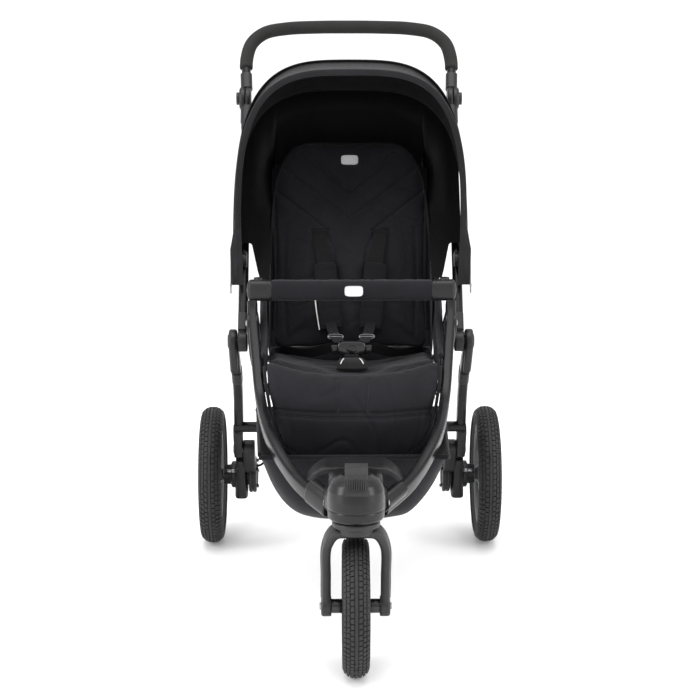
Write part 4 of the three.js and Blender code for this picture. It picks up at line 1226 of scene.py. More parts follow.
def back_pad(name):
    """The seat back's quilted pad. It pulls in a little at the waist, and its top corners are round."""
    foot, head, corner = 0.0250, 0.4480, 0.120

    def half(up):
        past = max(0.0, (up - (head - corner)) / corner)
        low = max(0.0, (foot + 0.020 - up) / 0.020)
        waist = 0.006 * math.exp(-((up - 0.19) / 0.09) ** 2)
        return (0.1560 - waist - 0.064 + 0.064 * math.sqrt(max(0.0, 1 - past ** 2.2))
                - 0.010 * (1 - math.sqrt(max(0.0, 1 - low ** 2))))

    def front(u, v):
        side = 2 * u - 1
        up = foot + (head - foot) * (1 - (1 - v) ** 1.15)
        edge = min(1.0, (1 - abs(side)) / 0.10, (1 - v) / 0.06, v / 0.05)
        crown = 0.0080 + 0.0070 * math.sqrt(max(0.0, 1 - (1 - max(0, edge)) ** 2))
        return on_back(side * half(up), crown - 0.004 * side * side, up)

    def rear(u, v):
        side = 2 * u - 1
        up = foot + (head - foot) * (1 - (1 - v) ** 1.15)
        return on_back(side * half(up), -0.0028, up)

    pad = solid_sheet(name, front, rear, 40, 60, SEAT)

    def held(points):
        x, out, up = back_space(points)
        weight = (out < 0.000).astype(float)
        for line in QUILT[:2]:
            weight = np.maximum(weight, (distance_to(line, x, up) < 0.0045) * 0.9)
        return weight

    puff(pad, 0.0050, 3.5, 0.006, held)
    points = coords(pad)
    x, out, up = back_space(points)
    front_side = np.clip((out - 0.004) / 0.006, 0, 1)
    dent = np.zeros(len(x))
    for line in QUILT:
        dent = np.maximum(dent, seam_dent(distance_to(line, x, up), (0.0042, 0.0035), (0.0022, 0.012)))
    for line in PAD_SIDE:
        dent = np.maximum(dent, seam_dent(distance_to(line, x, up), (0.0026, 0.0040)))
    for line in SLOTS:
        dent = np.maximum(dent, seam_dent(distance_to(line, x, up), (0.0075, 0.0035)))
    set_coords(pad, points - np.outer(dent * front_side, BACK_OUT))

    def mask(p):
        _, out_, up_ = back_space(p)
        return np.clip((out_ - 0.004) / 0.006, 0, 1) * (0.35 + 0.65 * np.exp(-((up_ - 0.13) / 0.14) ** 2))

    creases(pad, BACK_OUT, 0.0042, 13, (0.8, 1.6, 1.3), 2.0, mask)
    creases(pad, BACK_OUT, 0.0018, 34, (1.5, 0.9, 0.6), 8.0, mask)
    return pad


back = back_pad("back_cushion_pad")
ride(back, "seat_back", "seat_fabric", "back_cushion")

spots = []
for line_ in QUILT:
    spots += surface_points(back, [on_back(x, 0, up) for x, up in line_], BACK_OUT, STITCH_PITCH)
ride(stitches("back_quilt_stitches", spots, THREAD), "seat_back", "seat_fabric")


def back_welt(name):
    """Corded piping round the pad's rim, from one bottom corner over the top to the other."""
    line = [(-0.1545, 0.060), (-0.1520, 0.150), (-0.1530, 0.260), (-0.1555, 0.330), (-0.1480, 0.376),
            (-0.1330, 0.4110), (-0.1130, 0.4380), (-0.0880, 0.4480), (0.0, 0.4490)]
    line += [(-x, up) for x, up in reversed(line[:-1])]
    path = spline([on_back(x, 0.0065, up) for x, up in line], 190)
    return sweep(name, path, oval(0.0026, 0.0026), SEAT_TRIM, ends=0.001)


ride(back_welt("back_cushion_welt"), "seat_back", "seat_fabric")


BADGE_WIDTH, BADGE_HEIGHT = 0.035, 0.020


def badge(name, at, up, out):
    """A blank oblong badge with a raised rim, on a thin base."""
    around = 32

    def ring(k, lift):
        points = []
        for i in range(around):
            x, y = squared(2 * math.pi * i / around, BADGE_WIDTH / 2 * k, BADGE_HEIGHT / 2 * k, 0.45, 0.45)
            points.append(at + Vector((1, 0, 0)) * x + up * y + out * lift)
        return points
    rows = [ring(1, -0.0022), ring(1, 0.0004), ring(0.97, 0.0011), ring(0.91, 0.0011), ring(0.88, 0.0006)]
    verts = [p for row in rows for p in row]
    return piece(name, verts, tube_faces(around, len(rows)), BADGE, 40)


_, spot_, _, _ = back.ray_cast(on_back(0, 0.1, 0.412), -BACK_OUT)
back_badge = badge("back_badge", spot_ + BACK_OUT * 0.0008, BACK_UP, BACK_OUT)
ride(back_badge, "seat_back", "plastic")
bar_badge = badge("bumper_bar_badge", Vector((0.004, BAR_AT[0] - 0.0160, BAR_AT[1])), Vector((0, 0, 1)),
                  Vector((0, -1, 0)))
ride(bar_badge, "bar", "plastic")


SEAT_HALF, SEAT_FRONT, SEAT_LONG, SEAT_HIGH = 0.161, -0.028, 0.210, 0.4440


def seat_top(u, v):
    """A point on the seat's top: it falls towards the back, and its sides rise."""
    side = 2 * u - 1
    return Vector((SEAT_HALF * side, SEAT_FRONT + SEAT_LONG * v,
                   SEAT_HIGH - 0.0145 * v + 0.030 * side * side * (1 - 0.4 * v)))


def seat_pad(name):
    """The seat's dished cushion, with creases across it."""
    def top(u, v):
        p = seat_top(u, v)
        edge = min(1.0, min(u, 1 - u) / 0.06, v / 0.08, (1 - v) / 0.08)
        return p - Vector((0, 0, 0.007 * (1 - math.sqrt(max(0.0, 1 - (1 - edge) ** 2)))))

    def bottom(u, v):
        p = seat_top(u, v)
        return Vector((p.x * 0.97, p.y, 0.4148 - 0.0100 * v))

    pad = solid_sheet(name, top, bottom, 40, 30, SEAT)
    puff(pad, 0.0055, 4.0, 0.005, lambda p: (p[:, 2] < 0.4185).astype(float))
    creases(pad, (0, 0, 1), 0.0030, 17, (0.7, 1.4, 1), 4.0, lambda p: np.clip((p[:, 2] - 0.425) / 0.01, 0, 1))
    return pad


seat = seat_pad("seat_cushion_pad")
ride(seat, "front_frame", "seat_fabric", "seat_cushion")

# The calf pad's side view, from the seat's front edge down to its foot.
CALF_STEPS = 60
CALF_FALL = spline([(0, -0.034, 0.443), (0, -0.054, 0.439), (0, -0.084, 0.411), (0, -0.098, 0.373),
                    (0, -0.092, 0.319), (0, -0.078, 0.279)], CALF_STEPS + 1)


def calf_half(v):
    """Half-width of the calf pad at share v down its fall."""
    return float(np.interp(v, [0, 0.12, 0.30, 0.38, 0.50, 0.65, 0.76, 0.86, 0.94, 0.98, 1.0],
                           [0.1640, 0.1640, 0.1600, 0.1565, 0.1520, 0.1440, 0.1330, 0.1150, 0.0880, 0.0640, 0.0500]))


def calf_point(u, v, depth):
    """A point on the calf pad. depth is out towards the front, from the pad's middle layer."""
    k = min(CALF_STEPS - 1, int(v * CALF_STEPS))
    at = CALF_FALL[k].lerp(CALF_FALL[k + 1], v * CALF_STEPS - k)
    run = (CALF_FALL[k + 1] - CALF_FALL[k]).normalized()
    side = 2 * u - 1
    return Vector((side * calf_half(v), at.y + run.z * depth, at.z - run.y * depth + 0.026 * side * side * (1 - v)))


CALF_SEAMS = [
    [(-0.150, 0.3925), (-0.060, 0.3850), (0.060, 0.3850), (0.150, 0.3925)],
    [(-0.148, 0.3845), (-0.060, 0.3770), (0.060, 0.3770), (0.148, 0.3845)],
    [(-0.030, 0.440), (-0.027, 0.386)], [(0.030, 0.440), (0.027, 0.386)],
]


def calf(name):
    """The calf pad: it rolls over the seat's front edge and hangs, with big round lower corners."""
    def down(v):
        """The pad starts a little below its fall's top and ends a little above its foot."""
        return v * 0.985 + 0.008

    def front(u, v):
        edge = min(1.0, min(u, 1 - u) / 0.05, (1 - v) / 0.05)
        return calf_point(u, down(v), 0.0045 * math.sqrt(max(0.0, 1 - (1 - edge) ** 2)) + 0.0005)

    pad = solid_sheet(name, front, lambda u, v: calf_point(u, down(v), -0.0052), 44, 44, SEAT)
    puff(pad, 0.0050, 3.0, 0.003, lambda p: np.zeros(len(p)))
    points = coords(pad)
    forward = np.clip((-points[:, 1] - 0.040) / 0.02, 0, 1)
    dent = np.zeros(len(points))
    for line in CALF_SEAMS:
        near = distance_to(line, points[:, 0], points[:, 2])
        dent = np.maximum(dent, seam_dent(near, (0.0028, 0.0032), (0.0012, 0.010)))
    set_coords(pad, points + np.outer(dent * forward, (0, 0.9, -0.2)))
    creases(pad, (0, -1, 0), 0.0050, 12, (1.5, 0.7, 0.8), 1.0,
            lambda p: np.clip((-p[:, 1] - 0.044) / 0.02, 0, 1) * np.clip((p[:, 2] - 0.29) / 0.03, 0.3, 1))
    return pad


calf_pad = calf("calf_pad_cover")
ride(calf_pad, "front_frame", "seat_fabric", "calf_pad")

spots = []
for line_ in CALF_SEAMS:
    spots += surface_points(calf_pad, [(x, -0.20, z) for x, z in line_], (0, -1, 0), STITCH_PITCH)
ride(stitches("calf_pad_stitches", spots, THREAD), "front_frame", "seat_fabric")


def calf_welt(name):
    """Bound edge round the calf pad's sides and bottom."""
    line = [calf_point(0, v, 0.0) for v in np.linspace(0.10, 0.97, 24)]
    line += [calf_point(1, v, 0.0) for v in np.linspace(0.97, 0.10, 24)]
    return sweep(name, spline(line, 170), oval(0.0030, 0.0050), SEAT_TRIM, ends=0.001)


ride(calf_welt("calf_pad_binding"), "front_frame", "seat_fabric")

# ---- Canopy -------------------------------------------------------------------------------------

# The canopy's pivot, its radius, half-width and squareness, the gap between layers, and the bows' leans.
CANOPY_Y, CANOPY_Z = 0.200, 0.632
CANOPY_R, CANOPY_HALF, CANOPY_POWER = 0.394, 0.2325, 3.4
CANOPY_STEP = 0.0034
CANOPY_CLOTH = 0.0016
ARCH_REACH = 0.985
ARCH_TURN = math.pi / 2 - 0.0007
BOWS = [34.3, 18.05, 1.8, -14.45]


def canopy_at(sweep_, lean, layer=0, inset=0.0):
    """A point on a canopy layer: sweep from -1 to 1 across the arch, lean in degrees behind upright."""
    radius = CANOPY_R - layer * CANOPY_STEP - inset
    half = CANOPY_HALF - layer * CANOPY_STEP - min(inset, 0.006)
    turn = sweep_ * ARCH_TURN
    across = math.copysign(abs(math.sin(turn)) ** (2 / CANOPY_POWER), turn)
    reach = radius * math.cos(turn) ** (2 / CANOPY_POWER)
    a = math.radians(lean)
    return Vector((across * half, CANOPY_Y + reach * math.sin(a), CANOPY_Z + reach * math.cos(a)))


def canopy_sag(sweep_, v):
    """How far the cloth hangs in between its bows. It is the same for each layer, so they nest."""
    top = max(0.0, 1 - abs(sweep_) ** 3)
    ripple = noise.noise(Vector((sweep_ * 5.5, v * 1.7, 0.4))) * 0.0016 + noise.noise(
        Vector((sweep_ * 16, v * 2.4, 5.2))) * 0.0008
    return (0.0065 * top + 0.0020) * 4 * v * (1 - v) * 0.8 + (ripple + 0.0012) * min(1.0, 5 * v * (1 - v))


def arch_sweep(u):
    """Share u of the way across the arch, with stations closer together where it turns fastest."""
    side = 2 * u - 1
    return math.copysign(1 - (1 - abs(side)) ** 1.9, side)


def line_with(cloth, look, chosen):
    """Gives the faces that chosen(face) picks a second look."""
    cloth.data.materials.append(look)
    for face in cloth.data.polygons:
        face.material_index = 1 if chosen(face) else 0
    return cloth


def canopy_panel(name, layer, front, rear):
    """A cloth between two bows' leans, with the darker lining look inside, which paints the shade under the hood."""
    def outside(u, v):
        s = arch_sweep(u)
        return canopy_at(s, front + (rear - front) * v, layer, canopy_sag(s, v))

    def inside(u, v):
        s = arch_sweep(u)
        return canopy_at(s, front + (rear - front) * v, layer, canopy_sag(s, v) + CANOPY_CLOTH)

    def faces_in(face):
        middle = face.center - Vector((0, CANOPY_Y, CANOPY_Z))
        return face.normal.dot(Vector((middle.x * 1.2, middle.y, middle.z))) < 0

    return line_with(solid_sheet(name, outside, inside, 120, 22, CANOPY), SHADED_LINING, faces_in)


def arch_band(name, layer, lean, out, thick, wide):
    """A flat band along the arch at one lean, such as a hem or a bow's pocket."""
    path = spline([canopy_at(arch_sweep(u) * ARCH_REACH, lean, layer, -out) for u in np.linspace(0, 1, 70)], 170)
    forward = Vector((0, -math.cos(math.radians(lean)), math.sin(math.radians(lean))))
    verts, around = [], 16
    for at, right, up in frames(path, forward):
        for k in range(around):
            a = 2 * math.pi * k / around
            c, s = math.cos(a), math.sin(a)
            verts.append(at + right * wide * bent(c, 0.6)
                         + up * thick * bent(s, 0.6))
    return piece(name, verts, tube_faces(around, len(path)), CANOPY, 50)


def arch_stitches(name, layer, lean, out):
    """A row of stitches along the arch, which follows the sag of the front cloth."""
    v = (lean - BOWS[3]) / (BOWS[2] + 0.5 - BOWS[3])
    path = spline([canopy_at(s, lean, layer, canopy_sag(s, v) - out)
                   for s in (arch_sweep(u) * 0.97 for u in np.linspace(0, 1, 70))], 190)
    spots = []
    for a, b in zip(path, path[1:]):
        radial = Vector(((a.x / CANOPY_HALF) ** 3, 0, 0)) + Vector((0, a.y - CANOPY_Y, a.z - CANOPY_Z)) * 2.2
        spots.append((a.lerp(b, 0.5), radial.normalized(), (b - a).normalized()))
    return stitches(name, spots, THREAD, 0.0036, 0.0006)


for name_, node_, body_, layer_, front_, rear_ in (
        ("canopy_rear_cloth", "canopy_rear_panel", "handle_frame", 0, BOWS[1] - 0.5, BOWS[0]),
        ("canopy_mid_cloth", "canopy_mid_panel", "canopy_mid", 1, BOWS[2] - 0.5, BOWS[1] + 0.5),
        ("canopy_front_cloth", "canopy_front_panel", "canopy_front", 2, BOWS[3], BOWS[2] + 0.5)):
    cloth_ = canopy_panel(name_, layer_, front_, rear_)
    ride(cloth_, body_, "canopy_fabric", node_)
for name_, body_, layer_, lean_ in (("canopy_rear_hem", "handle_frame", 0, BOWS[1] - 0.5),
                                    ("canopy_mid_hem", "canopy_mid", 1, BOWS[2] - 0.5)):
    ride(arch_band(name_, layer_, lean_, 0.0002, 0.0011, 0.0042), body_, "canopy_fabric")
hem = arch_band("canopy_front_hem", 2, BOWS[3] - 0.9, -0.0035, 0.0062, 0.0040)
ride(hem, "canopy_front", "canopy_fabric", "canopy_front_bow")
ride(arch_stitches("canopy_front_stitches", 2, BOWS[3] + 1.6, 0.0002), "canopy_front", "canopy_fabric")


# The curtain's half-width, and how far out its long side tabs start.
CURTAIN_HALF, CURTAIN_TAB = 0.2215, 0.153


def curtain(name):
    """The cloth behind the child: it hangs from the rear bow, round the seat back, to the handle tubes."""
    lean = math.radians(BOWS[0])

    def spot(u, v, depth):
        side = 2 * u - 1
        x = CURTAIN_HALF * math.copysign(1 - (1 - abs(side)) ** 1.35, side)
        k = abs(x)
        reach = (CANOPY_R - 0.0024) * (1 - (k / CANOPY_HALF) ** CANOPY_POWER) ** (1 / CANOPY_POWER)
        top = CANOPY_Z + reach * math.cos(lean - 0.02) - 0.0010
        if k < CURTAIN_TAB:
            low = 0.838 - 0.070 * (k / 0.162) ** 2.6
        else:
            drop = 0.170 * min(1.0, (k - CURTAIN_TAB) / 0.006)
            low = 0.768 - drop + 0.064 * min(1.0, max(0.0, (k - 0.181) / 0.016))
        z = top + (low - top) * v
        plane = CANOPY_Y + (z - CANOPY_Z) * math.tan(lean)
        behind = 0.4150 + 0.012 * (top - z) / 0.1
        share = min(1.0, max(0.0, (0.196 - k) / 0.040))
        high = min(1.0, max(0.0, (z - 0.705) / 0.095))
        share = share * share * (3 - 2 * share) * min(1.0, 3 * v) * high * high * (3 - 2 * high)
        y = plane + (max(behind, plane) - plane) * share
        ripple = 0.0042 * noise.noise(Vector((x * 34, z * 6, 2.2))) * min(1.0, 4 * v)
        return Vector((x, y + ripple + depth, z))

    # The faces towards the child take the darker lining look, which paints the shade behind the seat back; the faces
    # towards the handle take the canopy fabric.
    cloth = solid_sheet(name, lambda u, v: spot(u, v, 0.0), lambda u, v: spot(u, v, 0.0015), 90, 34, SHADED_LINING)
    return line_with(cloth, CANOPY, lambda face: face.normal.y > 0.2)


drape = curtain("canopy_rear_curtain")
ride(drape, "handle_frame", "canopy_fabric", "canopy_rear_drape")


FLAP_TOP, FLAP_LONG = 0.712, 0.127


def side_flap(name):
    """The slack lower corner of the canopy's front: it goes over the pivot, and turns in at its front edge."""
    def spot(u, v, depth):
        z = FLAP_TOP - FLAP_LONG * v
        out = 0.2295 + 0.0085 * min(1.0, 2.2 * v) ** 1.5
        inner = 0.2170 - 0.0060 * v
        front = CANOPY_Y - 0.0205 - 0.0100 * v
        rear = 0.222 + 0.026 * min(1.0, 1.5 * v)
        if u < 0.5:
            x, y, way = out, rear + (front + 0.010 - rear) * 2 * u, Vector((-1, 0, 0))
        else:
            turn = (2 * u - 1) * math.pi / 2
            x = inner + (out - inner) * math.cos(turn) ** 0.8
            y = front + 0.010 * (1 - math.sin(turn) ** 0.8)
            way = Vector((-math.cos(turn), math.sin(turn), 0))
        ripple = 0.0018 * noise.noise(Vector((u * 7, z * 26, 6.1))) * min(1.0, 5 * v)
        return Vector((x + ripple * 0.4, y - ripple * 2, z)) + way * depth

    return solid_sheet(name, lambda u, v: spot(u, v, 0.0), lambda u, v: spot(u, v, 0.0014), 40, 36, CANOPY)


for flap_ in pair(side_flap, "canopy_side_flap_{}", "canopy_front", "canopy_fabric"):
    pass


def zip_pull(name):
    """The small pull of the zip that ends at the flap's lower corner."""
    tab = [Vector((0.2368, 0.1680, z)) for z in np.linspace(0.5840, 0.5690, 10)]
    slider = box("slider", (0.2345, 0.1660, 0.5815), (0.2390, 0.1705, 0.5885), STEEL, 0.0012, 2)
    return join(name, [sweep("tab", tab, oval(0.0017, 0.0009), STEEL, ends=0.0006), slider])


pair(zip_pull, "canopy_zip_pull_{}", "canopy_front", "plastic")

# ---- Harness ------------------------------------------------------------------------------------


def strap(name, path, half, thick, look, side=(1, 0, 0)):
    """A flat strap with rounded edges along a path."""
    return sweep(name, path, lambda angle, _share: squared(angle, half, thick, 0.35, 0.8), look, side=side,
                 ends=0.0006, sharp=60)


def shoulder_pad(name):
    """A padded sleeve over the shoulder strap, with the strap's webbing from its slot down to it."""
    line = [(0.0515, 0.0290, 0.188), (0.0485, 0.0300, 0.155), (0.0450, 0.0295, 0.115), (0.0385, 0.0300, 0.056)]
    path = spline([on_back(*p) for p in line], 70)

    def section(angle, share):
        c = math.cos(angle)
        width = 0.0225 - 0.0022 * max(0, 1 - share / 0.12) ** 2 - 0.0018 * max(0, (share - 0.92) / 0.08)
        plump = 0.0050 * (1 - 0.35 * abs(c) ** 3) * (1 + 0.10 * noise.noise(Vector((share * 9, c, 2.0))))
        quilt = 1 - 0.22 * math.exp(-((share * 5 % 1 - 0.5) / 0.10) ** 2)
        return squared(angle, width, plump * quilt, 0.45, 0.7)

    pad = sweep("pad", path, section, SEAT_TRIM, ends=0.003, sharp=70)
    line = [(0.0625, 0.0100, 0.2630), (0.0620, 0.0190, 0.2600), (0.0600, 0.0215, 0.2350), (0.0555, 0.0240, 0.2080),
            (0.0515, 0.0290, 0.1840)]
    return join(name, [pad, strap("above", spline([on_back(*p) for p in line], 40), 0.0135, 0.0011, WEBBING)])


for pad_ in pair(shoulder_pad, "shoulder_pad_{}", "seat_back", "webbing", "shoulder_harness_{}"):
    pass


def pad_piping(name):
    """A white cord that leaves the right shoulder pad's edge and runs down beside it."""
    line = [(-0.0735, 0.0300, 0.150), (-0.0712, 0.0330, 0.118), (-0.0675, 0.0340, 0.085), (-0.0625, 0.0340, 0.052)]
    path = spline([on_back(*p) for p in line], 30)
    return sweep(name, path, oval(0.0012, 0.0012), PIPING, ends=0.0008)


ride(pad_piping("shoulder_pad_piping"), "seat_back", "webbing")


LOW_STRAP = [(0.0400, 0.2140, 0.5080), (0.0385, 0.1900, 0.4990), (0.0340, 0.1500, 0.4920),
             (0.0300, 0.1100, 0.4900), (0.0230, 0.0760, 0.4860)]


def low_strap(name):
    """The strap from under the shoulder pad, through its adjuster, over the cushion to the buckle."""
    return strap(name, spline(LOW_STRAP, 50), 0.0105, 0.0010, WEBBING)


bend_pair(low_strap, "shoulder_strap_{}", "webbing", ("front_frame", "seat_hub"), (0, 0.090, 0.480),
          (0, 0.205, 0.490))


def adjuster(name):
    """An oval wire loop on the low strap, with its middle bar."""
    at, over = Vector((0.0305, 0.1130, 0.4915)), Vector((0, -0.30, 0.95))
    turn = []
    for i in range(40):
        a = 2 * math.pi * i / 40
        turn.append(at + Vector((0.0150 * bent(math.cos(a), 0.8), 0, 0))
                    + Vector((0, -0.70, -0.70)) * (0.0056 * bent(math.sin(a), 0.8)))
    verts, faces = [], []
    for i, p in enumerate(turn):
        run = (turn[(i + 1) % 40] - turn[i - 1]).normalized()
        across = run.cross(over).normalized()
        for k in range(10):
            b = 2 * math.pi * k / 10
            verts.append(p + across * 0.0008 * math.cos(b) + over * 0.0008 * math.sin(b))
    for i in range(40):
        for k in range(10):
            a, b = i * 10, ((i + 1) % 40) * 10
            faces.append((a + k, a + (k + 1) % 10, b + (k + 1) % 10, b + k))
    loop = piece("loop", verts, faces, STEEL, 60)
    bar = sweep("bar", [at + Vector((x, 0, 0)) for x in np.linspace(-0.0148, 0.0148, 9)], oval(0.0010, 0.0010),
                STEEL, side=(0, 0, 1), ends=0.0003)
    return join(name, [loop, bar])


pair(adjuster, "strap_adjuster_{}", "front_frame", "plastic")


def waist_strap(name):
    """The waist strap: it leaves the seat's corner, lies over the cushion, and runs into the buckle."""
    top = seat_top(1, 0.9)
    path = spline([(0.146, 0.176, top.z - 0.002), (0.128, 0.160, 0.4560), (0.104, 0.138, 0.4560),
                   (0.080, 0.112, 0.4600), (0.058, 0.090, 0.4690), (0.040, 0.074, 0.4760),
                   (0.029, 0.066, 0.4765)], 60)
    return strap(name, path, 0.0120, 0.0010, WEBBING, side=(0.25, -0.55, 0.8))


pair(waist_strap, "waist_strap_{}", "front_frame", "webbing")

BUCKLE = Vector((0, 0.062, 0.476))


def buckle(name):
    """A glossy shell with pinched shoulders, a tongue at each side, and a well for its button."""
    around, rows = 48, []
    rings = ((0.0085, 0.86), (0.0080, 0.94), (0.0062, 0.99), (0.0, 1.0), (-0.0062, 0.99), (-0.0080, 0.94),
             (-0.0088, 0.86), (-0.0088, 0.42), (-0.0058, 0.40))
    for out, k in rings:
        row = []
        for i in range(around):
            a = 2 * math.pi * i / around
            pinch = 1 - 0.10 * (1 - abs(math.sin(a))) ** 2
            across, rise = squared(a, 0.0285 * k, 0.0142 * k * pinch, 0.55, 0.62)
            row.append(BUCKLE + Vector((across, out, 0.0022 + rise)))
        if k < 0.5:
            well = 0.0086
            turns = [2 * math.pi * i / around for i in range(around)]
            row = [BUCKLE + Vector((well * math.cos(a), out, well * math.sin(a))) for a in turns]
        rows += row
    parts = [piece("shell", rows, tube_faces(around, len(rings)), GLOSS, 45)]
    for side in (1, -1):
        parts.append(box("tongue", (min(side * 0.022, side * 0.039), BUCKLE.y - 0.0045, BUCKLE.z - 0.0085),
                         (max(side * 0.022, side * 0.039), BUCKLE.y + 0.0035, BUCKLE.z + 0.0085), GLOSS, 0.002, 3))
    return join(name, parts)


ride(buckle("harness_buckle"), "front_frame", "gloss_plastic", "buckle_body")


def crotch_pad(name):
    """The padded cover of the crotch strap, from the seat's front edge up to the buckle."""
    path = spline([(0, -0.002, 0.4490), (0, 0.008, 0.4555), (0, 0.022, 0.4585), (0, 0.040, 0.4585),
                   (0, 0.050, 0.4580)], 40)

    def section(angle, share):
        c = math.cos(angle)
        width = 0.0300 - 0.0070 * share
        plump = 0.0042 * (1 - 0.3 * abs(c) ** 3)
        return squared(angle, width, plump, 0.5, 0.7)

    parts = [sweep("pad", path, section, WEBBING, ends=0.0035, sharp=70)]
    for side in (1, -1):
        line = [p + Vector((side * (0.0215 - 0.006 * i / 18), 0, 0.0042)) for i, p in enumerate(path[6:26])]
        parts.append(sweep("piping", line, oval(0.0010, 0.0010), PIPING, ends=0.0008))
    parts.append(strap("webbing", spline([(0, 0.046, 0.4640), (0, 0.053, 0.4665), (0, 0.058, 0.4685)], 10),
                       0.0135, 0.0010, WEBBING))
    return join(name, parts)


crotch = crotch_pad("crotch_pad_cover")
ride(crotch, "front_frame", "seat_fabric", "crotch_pad")

ROLL_HALF, ROLL_RADIUS = 0.1635, 0.0240


def hinge_roll(name):
    """The padded roll round the recline hinge, which closes the corner between seat and back."""
    verts, around, along = [], 40, 90
    for j in range(along + 1):
        x = -ROLL_HALF + 2 * ROLL_HALF * j / along
        end = min(1.0, (ROLL_HALF - abs(x)) / 0.006)
        wrinkle = noise.noise(Vector((x * 34, 0.3, 1.1))) * 0.0008
        radius = (ROLL_RADIUS + wrinkle) * (0.55 + 0.45 * math.sqrt(max(0.0, 1 - (1 - end) ** 2)))
        for k in range(around):
            a = 2 * math.pi * k / around
            verts.append(Vector((x, RECLINE.y + radius * math.sin(a), RECLINE.z + radius * math.cos(a))))
    return piece(name, verts, tube_faces(around, along + 1), SEAT, 60)


roll = hinge_roll("seat_corner_roll")
ride(roll, "seat_hub", "seat_fabric")

# ---- Side wings and basket ----------------------------------------------------------------------


def side_wing(name):
    """The cloth gusset between the seat's side and the seat back, slack along its top edge."""
    rear = [(0.196, 0.478), (0.214, 0.522), (0.228, 0.560), (0.244, 0.600)]
    front = [(-0.029, 0.480), (0.030, 0.500), (0.090, 0.526), (0.140, 0.552), (0.185, 0.580), (0.228, 0.606)]
    low = [(-0.028, 0.428), (0.060, 0.426), (0.120, 0.426), (0.172, 0.442)]

    def along(line, t):
        points = [Vector((0, *p)) for p in line]
        k = min(len(points) - 2, int(t * (len(points) - 1)))
        return points[k].lerp(points[k + 1], t * (len(points) - 1) - k)

    lower = low + rear

    def spot(u, v, out):
        a, b = along(front, u), along(lower, u)
        p = b.lerp(a, v)
        belly = 0.0045 * math.sin(math.pi * u) * math.sin(math.pi * v)
        ripple = 0.0012 * noise.noise(Vector((p.y * 40, p.z * 40, 1.0)))
        return Vector((0.1652 + belly + ripple + out, p.y, p.z))

    return solid_sheet(name, lambda u, v: spot(u, v, 0.0012), lambda u, v: spot(u, v, -0.0006), 44, 14, SEAT)


WING_BEND = (("front_frame", "seat_hub"), (0, 0.060, 0.460), (0, 0.205, 0.520))
for wing in bend_pair(side_wing, "side_wing_cloth_{}", "seat_fabric", *WING_BEND, "side_wing_{}"):
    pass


def wing_roll(name):
    """The thick rolled edge of the side wing, from the seat's front corner up to the bumper bar's level."""
    path = spline([(0.1665, -0.028, 0.4790), (0.1680, 0.030, 0.5000), (0.1700, 0.090, 0.5270),
                   (0.1715, 0.140, 0.5530), (0.1720, 0.185, 0.5810), (0.1710, 0.226, 0.6060)], 90)

    def section(angle, share):
        fat = 0.0042 + 0.0040 * math.sin(math.pi * min(1.0, 0.08 + 0.84 * share)) ** 0.7
        wave = 1 + 0.10 * noise.noise(Vector((share * 15, math.cos(angle), 8.0)))
        return (0.85 * fat * wave * math.cos(angle), 1.25 * fat * wave * math.sin(angle))

    return sweep(name, path, section, SEAT, ends=0.003, sharp=70)


for roll_ in bend_pair(wing_roll, "side_wing_roll_{}", "seat_fabric", *WING_BEND):
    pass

BASKET_TOP, BASKET_BOTTOM = 0.330, 0.176
BASKET_HALF, BASKET_REACH, BASKET_MIDDLE = 0.188, 0.206, -0.020
BASKET_CLOTH = 0.0018


def basket_at(u, v, inset):
    """A point on the basket: a bowl that sags between its rim, with folds that run down from the rim."""
    across, along = 2 * u - 1, 2 * v - 1
    belly = (1 - abs(across) ** 4.6) * (1 - abs(along) ** 4)
    narrow = 1 - 0.1 * (1 - along) / 2
    x = across * (BASKET_HALF * narrow - inset)
    y = BASKET_MIDDLE + along * (BASKET_REACH - inset)
    near_rim = min(1.0, 3.5 * belly) * (1 - 0.6 * belly)
    fold = noise.noise(Vector((x * 30, y * 9, 3.3))) * 0.0050 + noise.noise(Vector((x * 12, y * 26, 9.1))) * 0.0040
    z = BASKET_TOP - (BASKET_TOP - BASKET_BOTTOM - 0.006) * belly
    return Vector((x, y, z + (0.6 * near_rim + 0.25) * fold * min(1.0, 6 * belly) + inset))


def basket(name):
    """The basket's cloth, with a thin lining inside it."""
    return join(name, [solid_sheet("bowl", lambda u, v: basket_at(u, v, BASKET_CLOTH),
                                   lambda u, v: basket_at(u, v, 0.0), 84, 72, SEAT)])


def basket_rim(name):
    """The bound rim of the basket, with a cord inside it."""
    line = []
    for u, v in ([(t, 0.0) for t in np.linspace(0, 1, 20)] + [(1.0, t) for t in np.linspace(0, 1, 20)[1:]]
                 + [(t, 1.0) for t in np.linspace(1, 0, 20)[1:]] + [(0.0, t) for t in np.linspace(1, 0, 20)[1:-1]]):
        line.append(basket_at(u, v, 0.001) + Vector((0, 0, 0.001)))
    return sweep(name, spline(line, 200), oval(0.0032, 0.0046), SEAT_TRIM, side=(0, 1, 0), ends=0.001)


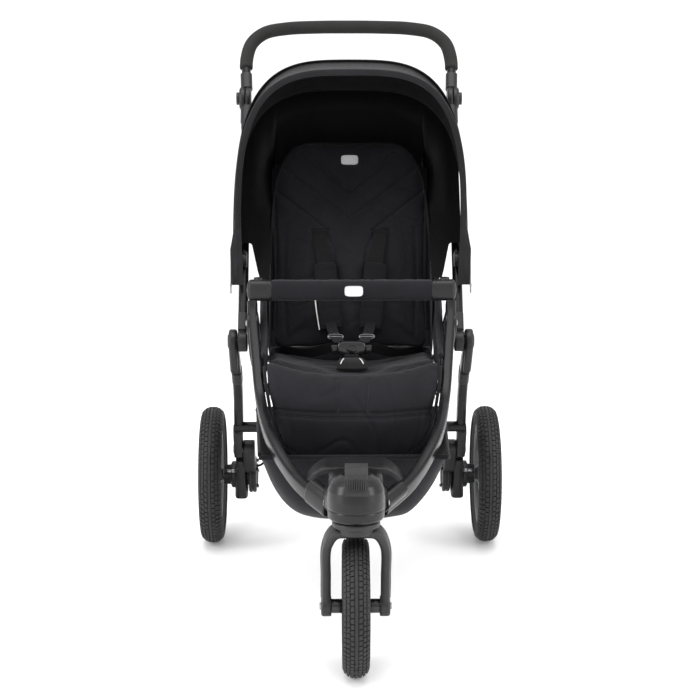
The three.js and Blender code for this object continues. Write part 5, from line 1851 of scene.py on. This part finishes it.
bag = basket("basket_bag")
ride(bag, "front_frame", "seat_fabric", "basket")
rim_ = basket_rim("basket_rim_binding")
ride(rim_, "front_frame", "seat_fabric")
for obj in (bag, rim_):
    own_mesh(obj)


def side_bolster(name):
    """The soft edge roll down the side of the seat back, widest at the child's hips."""
    line = [(0.1535, -0.004, 0.012), (0.1560, -0.004, 0.050), (0.1620, -0.004, 0.100), (0.1650, -0.003, 0.160),
            (0.1625, -0.002, 0.230), (0.1575, 0.000, 0.300)]
    path = spline([on_back(*p) for p in line], 70)

    def section(angle, share):
        fat = math.sin(math.pi * min(1.0, 0.30 + share * 0.68)) ** 0.8
        wave = 1 + 0.07 * noise.noise(Vector((share * 12, math.cos(angle), 4.0)))
        return ((0.0045 + 0.0075 * fat) * wave * math.cos(angle), (0.0040 + 0.0040 * fat) * wave * math.sin(angle))

    return sweep(name, path, section, SEAT, ends=0.004, sharp=70)


for bolster_ in pair(side_bolster, "seat_back_bolster_{}", "seat_back", "seat_fabric"):
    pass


def pleat(name):
    """A fan of cloth on the seat back, inside the side wing, which fills the corner as the back reclines."""
    def spot(u, v, out):
        lean = BACK_LEAN - math.radians(33) * u
        reach = 0.030 + (0.172 - 0.050 * u) * v
        ripple = 0.0009 * math.sin(u * 20)
        return Vector((0.1622 + ripple * v + out, RECLINE.y + reach * math.sin(lean),
                       RECLINE.z + reach * math.cos(lean)))

    return solid_sheet(name, lambda u, v: spot(u, v, 0.0006), lambda u, v: spot(u, v, -0.0004), 40, 12, SEAT)


for pleat_ in pair(pleat, "side_wing_pleat_{}", "seat_back", "seat_fabric"):
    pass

# ---- Brake cable --------------------------------------------------------------------------------

CABLE_HALF = [(0.1955, 0.384, 0.165), (0.188, 0.381, 0.168), (0.170, 0.362, 0.193), (0.138, 0.328, 0.229),
              (0.090, 0.298, 0.251), (0.045, 0.288, 0.257)]
cable_path = spline(CABLE_HALF + [(-x, y, z) for x, y, z in reversed(CABLE_HALF)], 120)
cable = sweep("brake_cable_sheath", cable_path, oval(0.0025, 0.0025), TYRE, ends=0.0003)
ride(cable, "rear_legs", "webbing", "brake_cable")
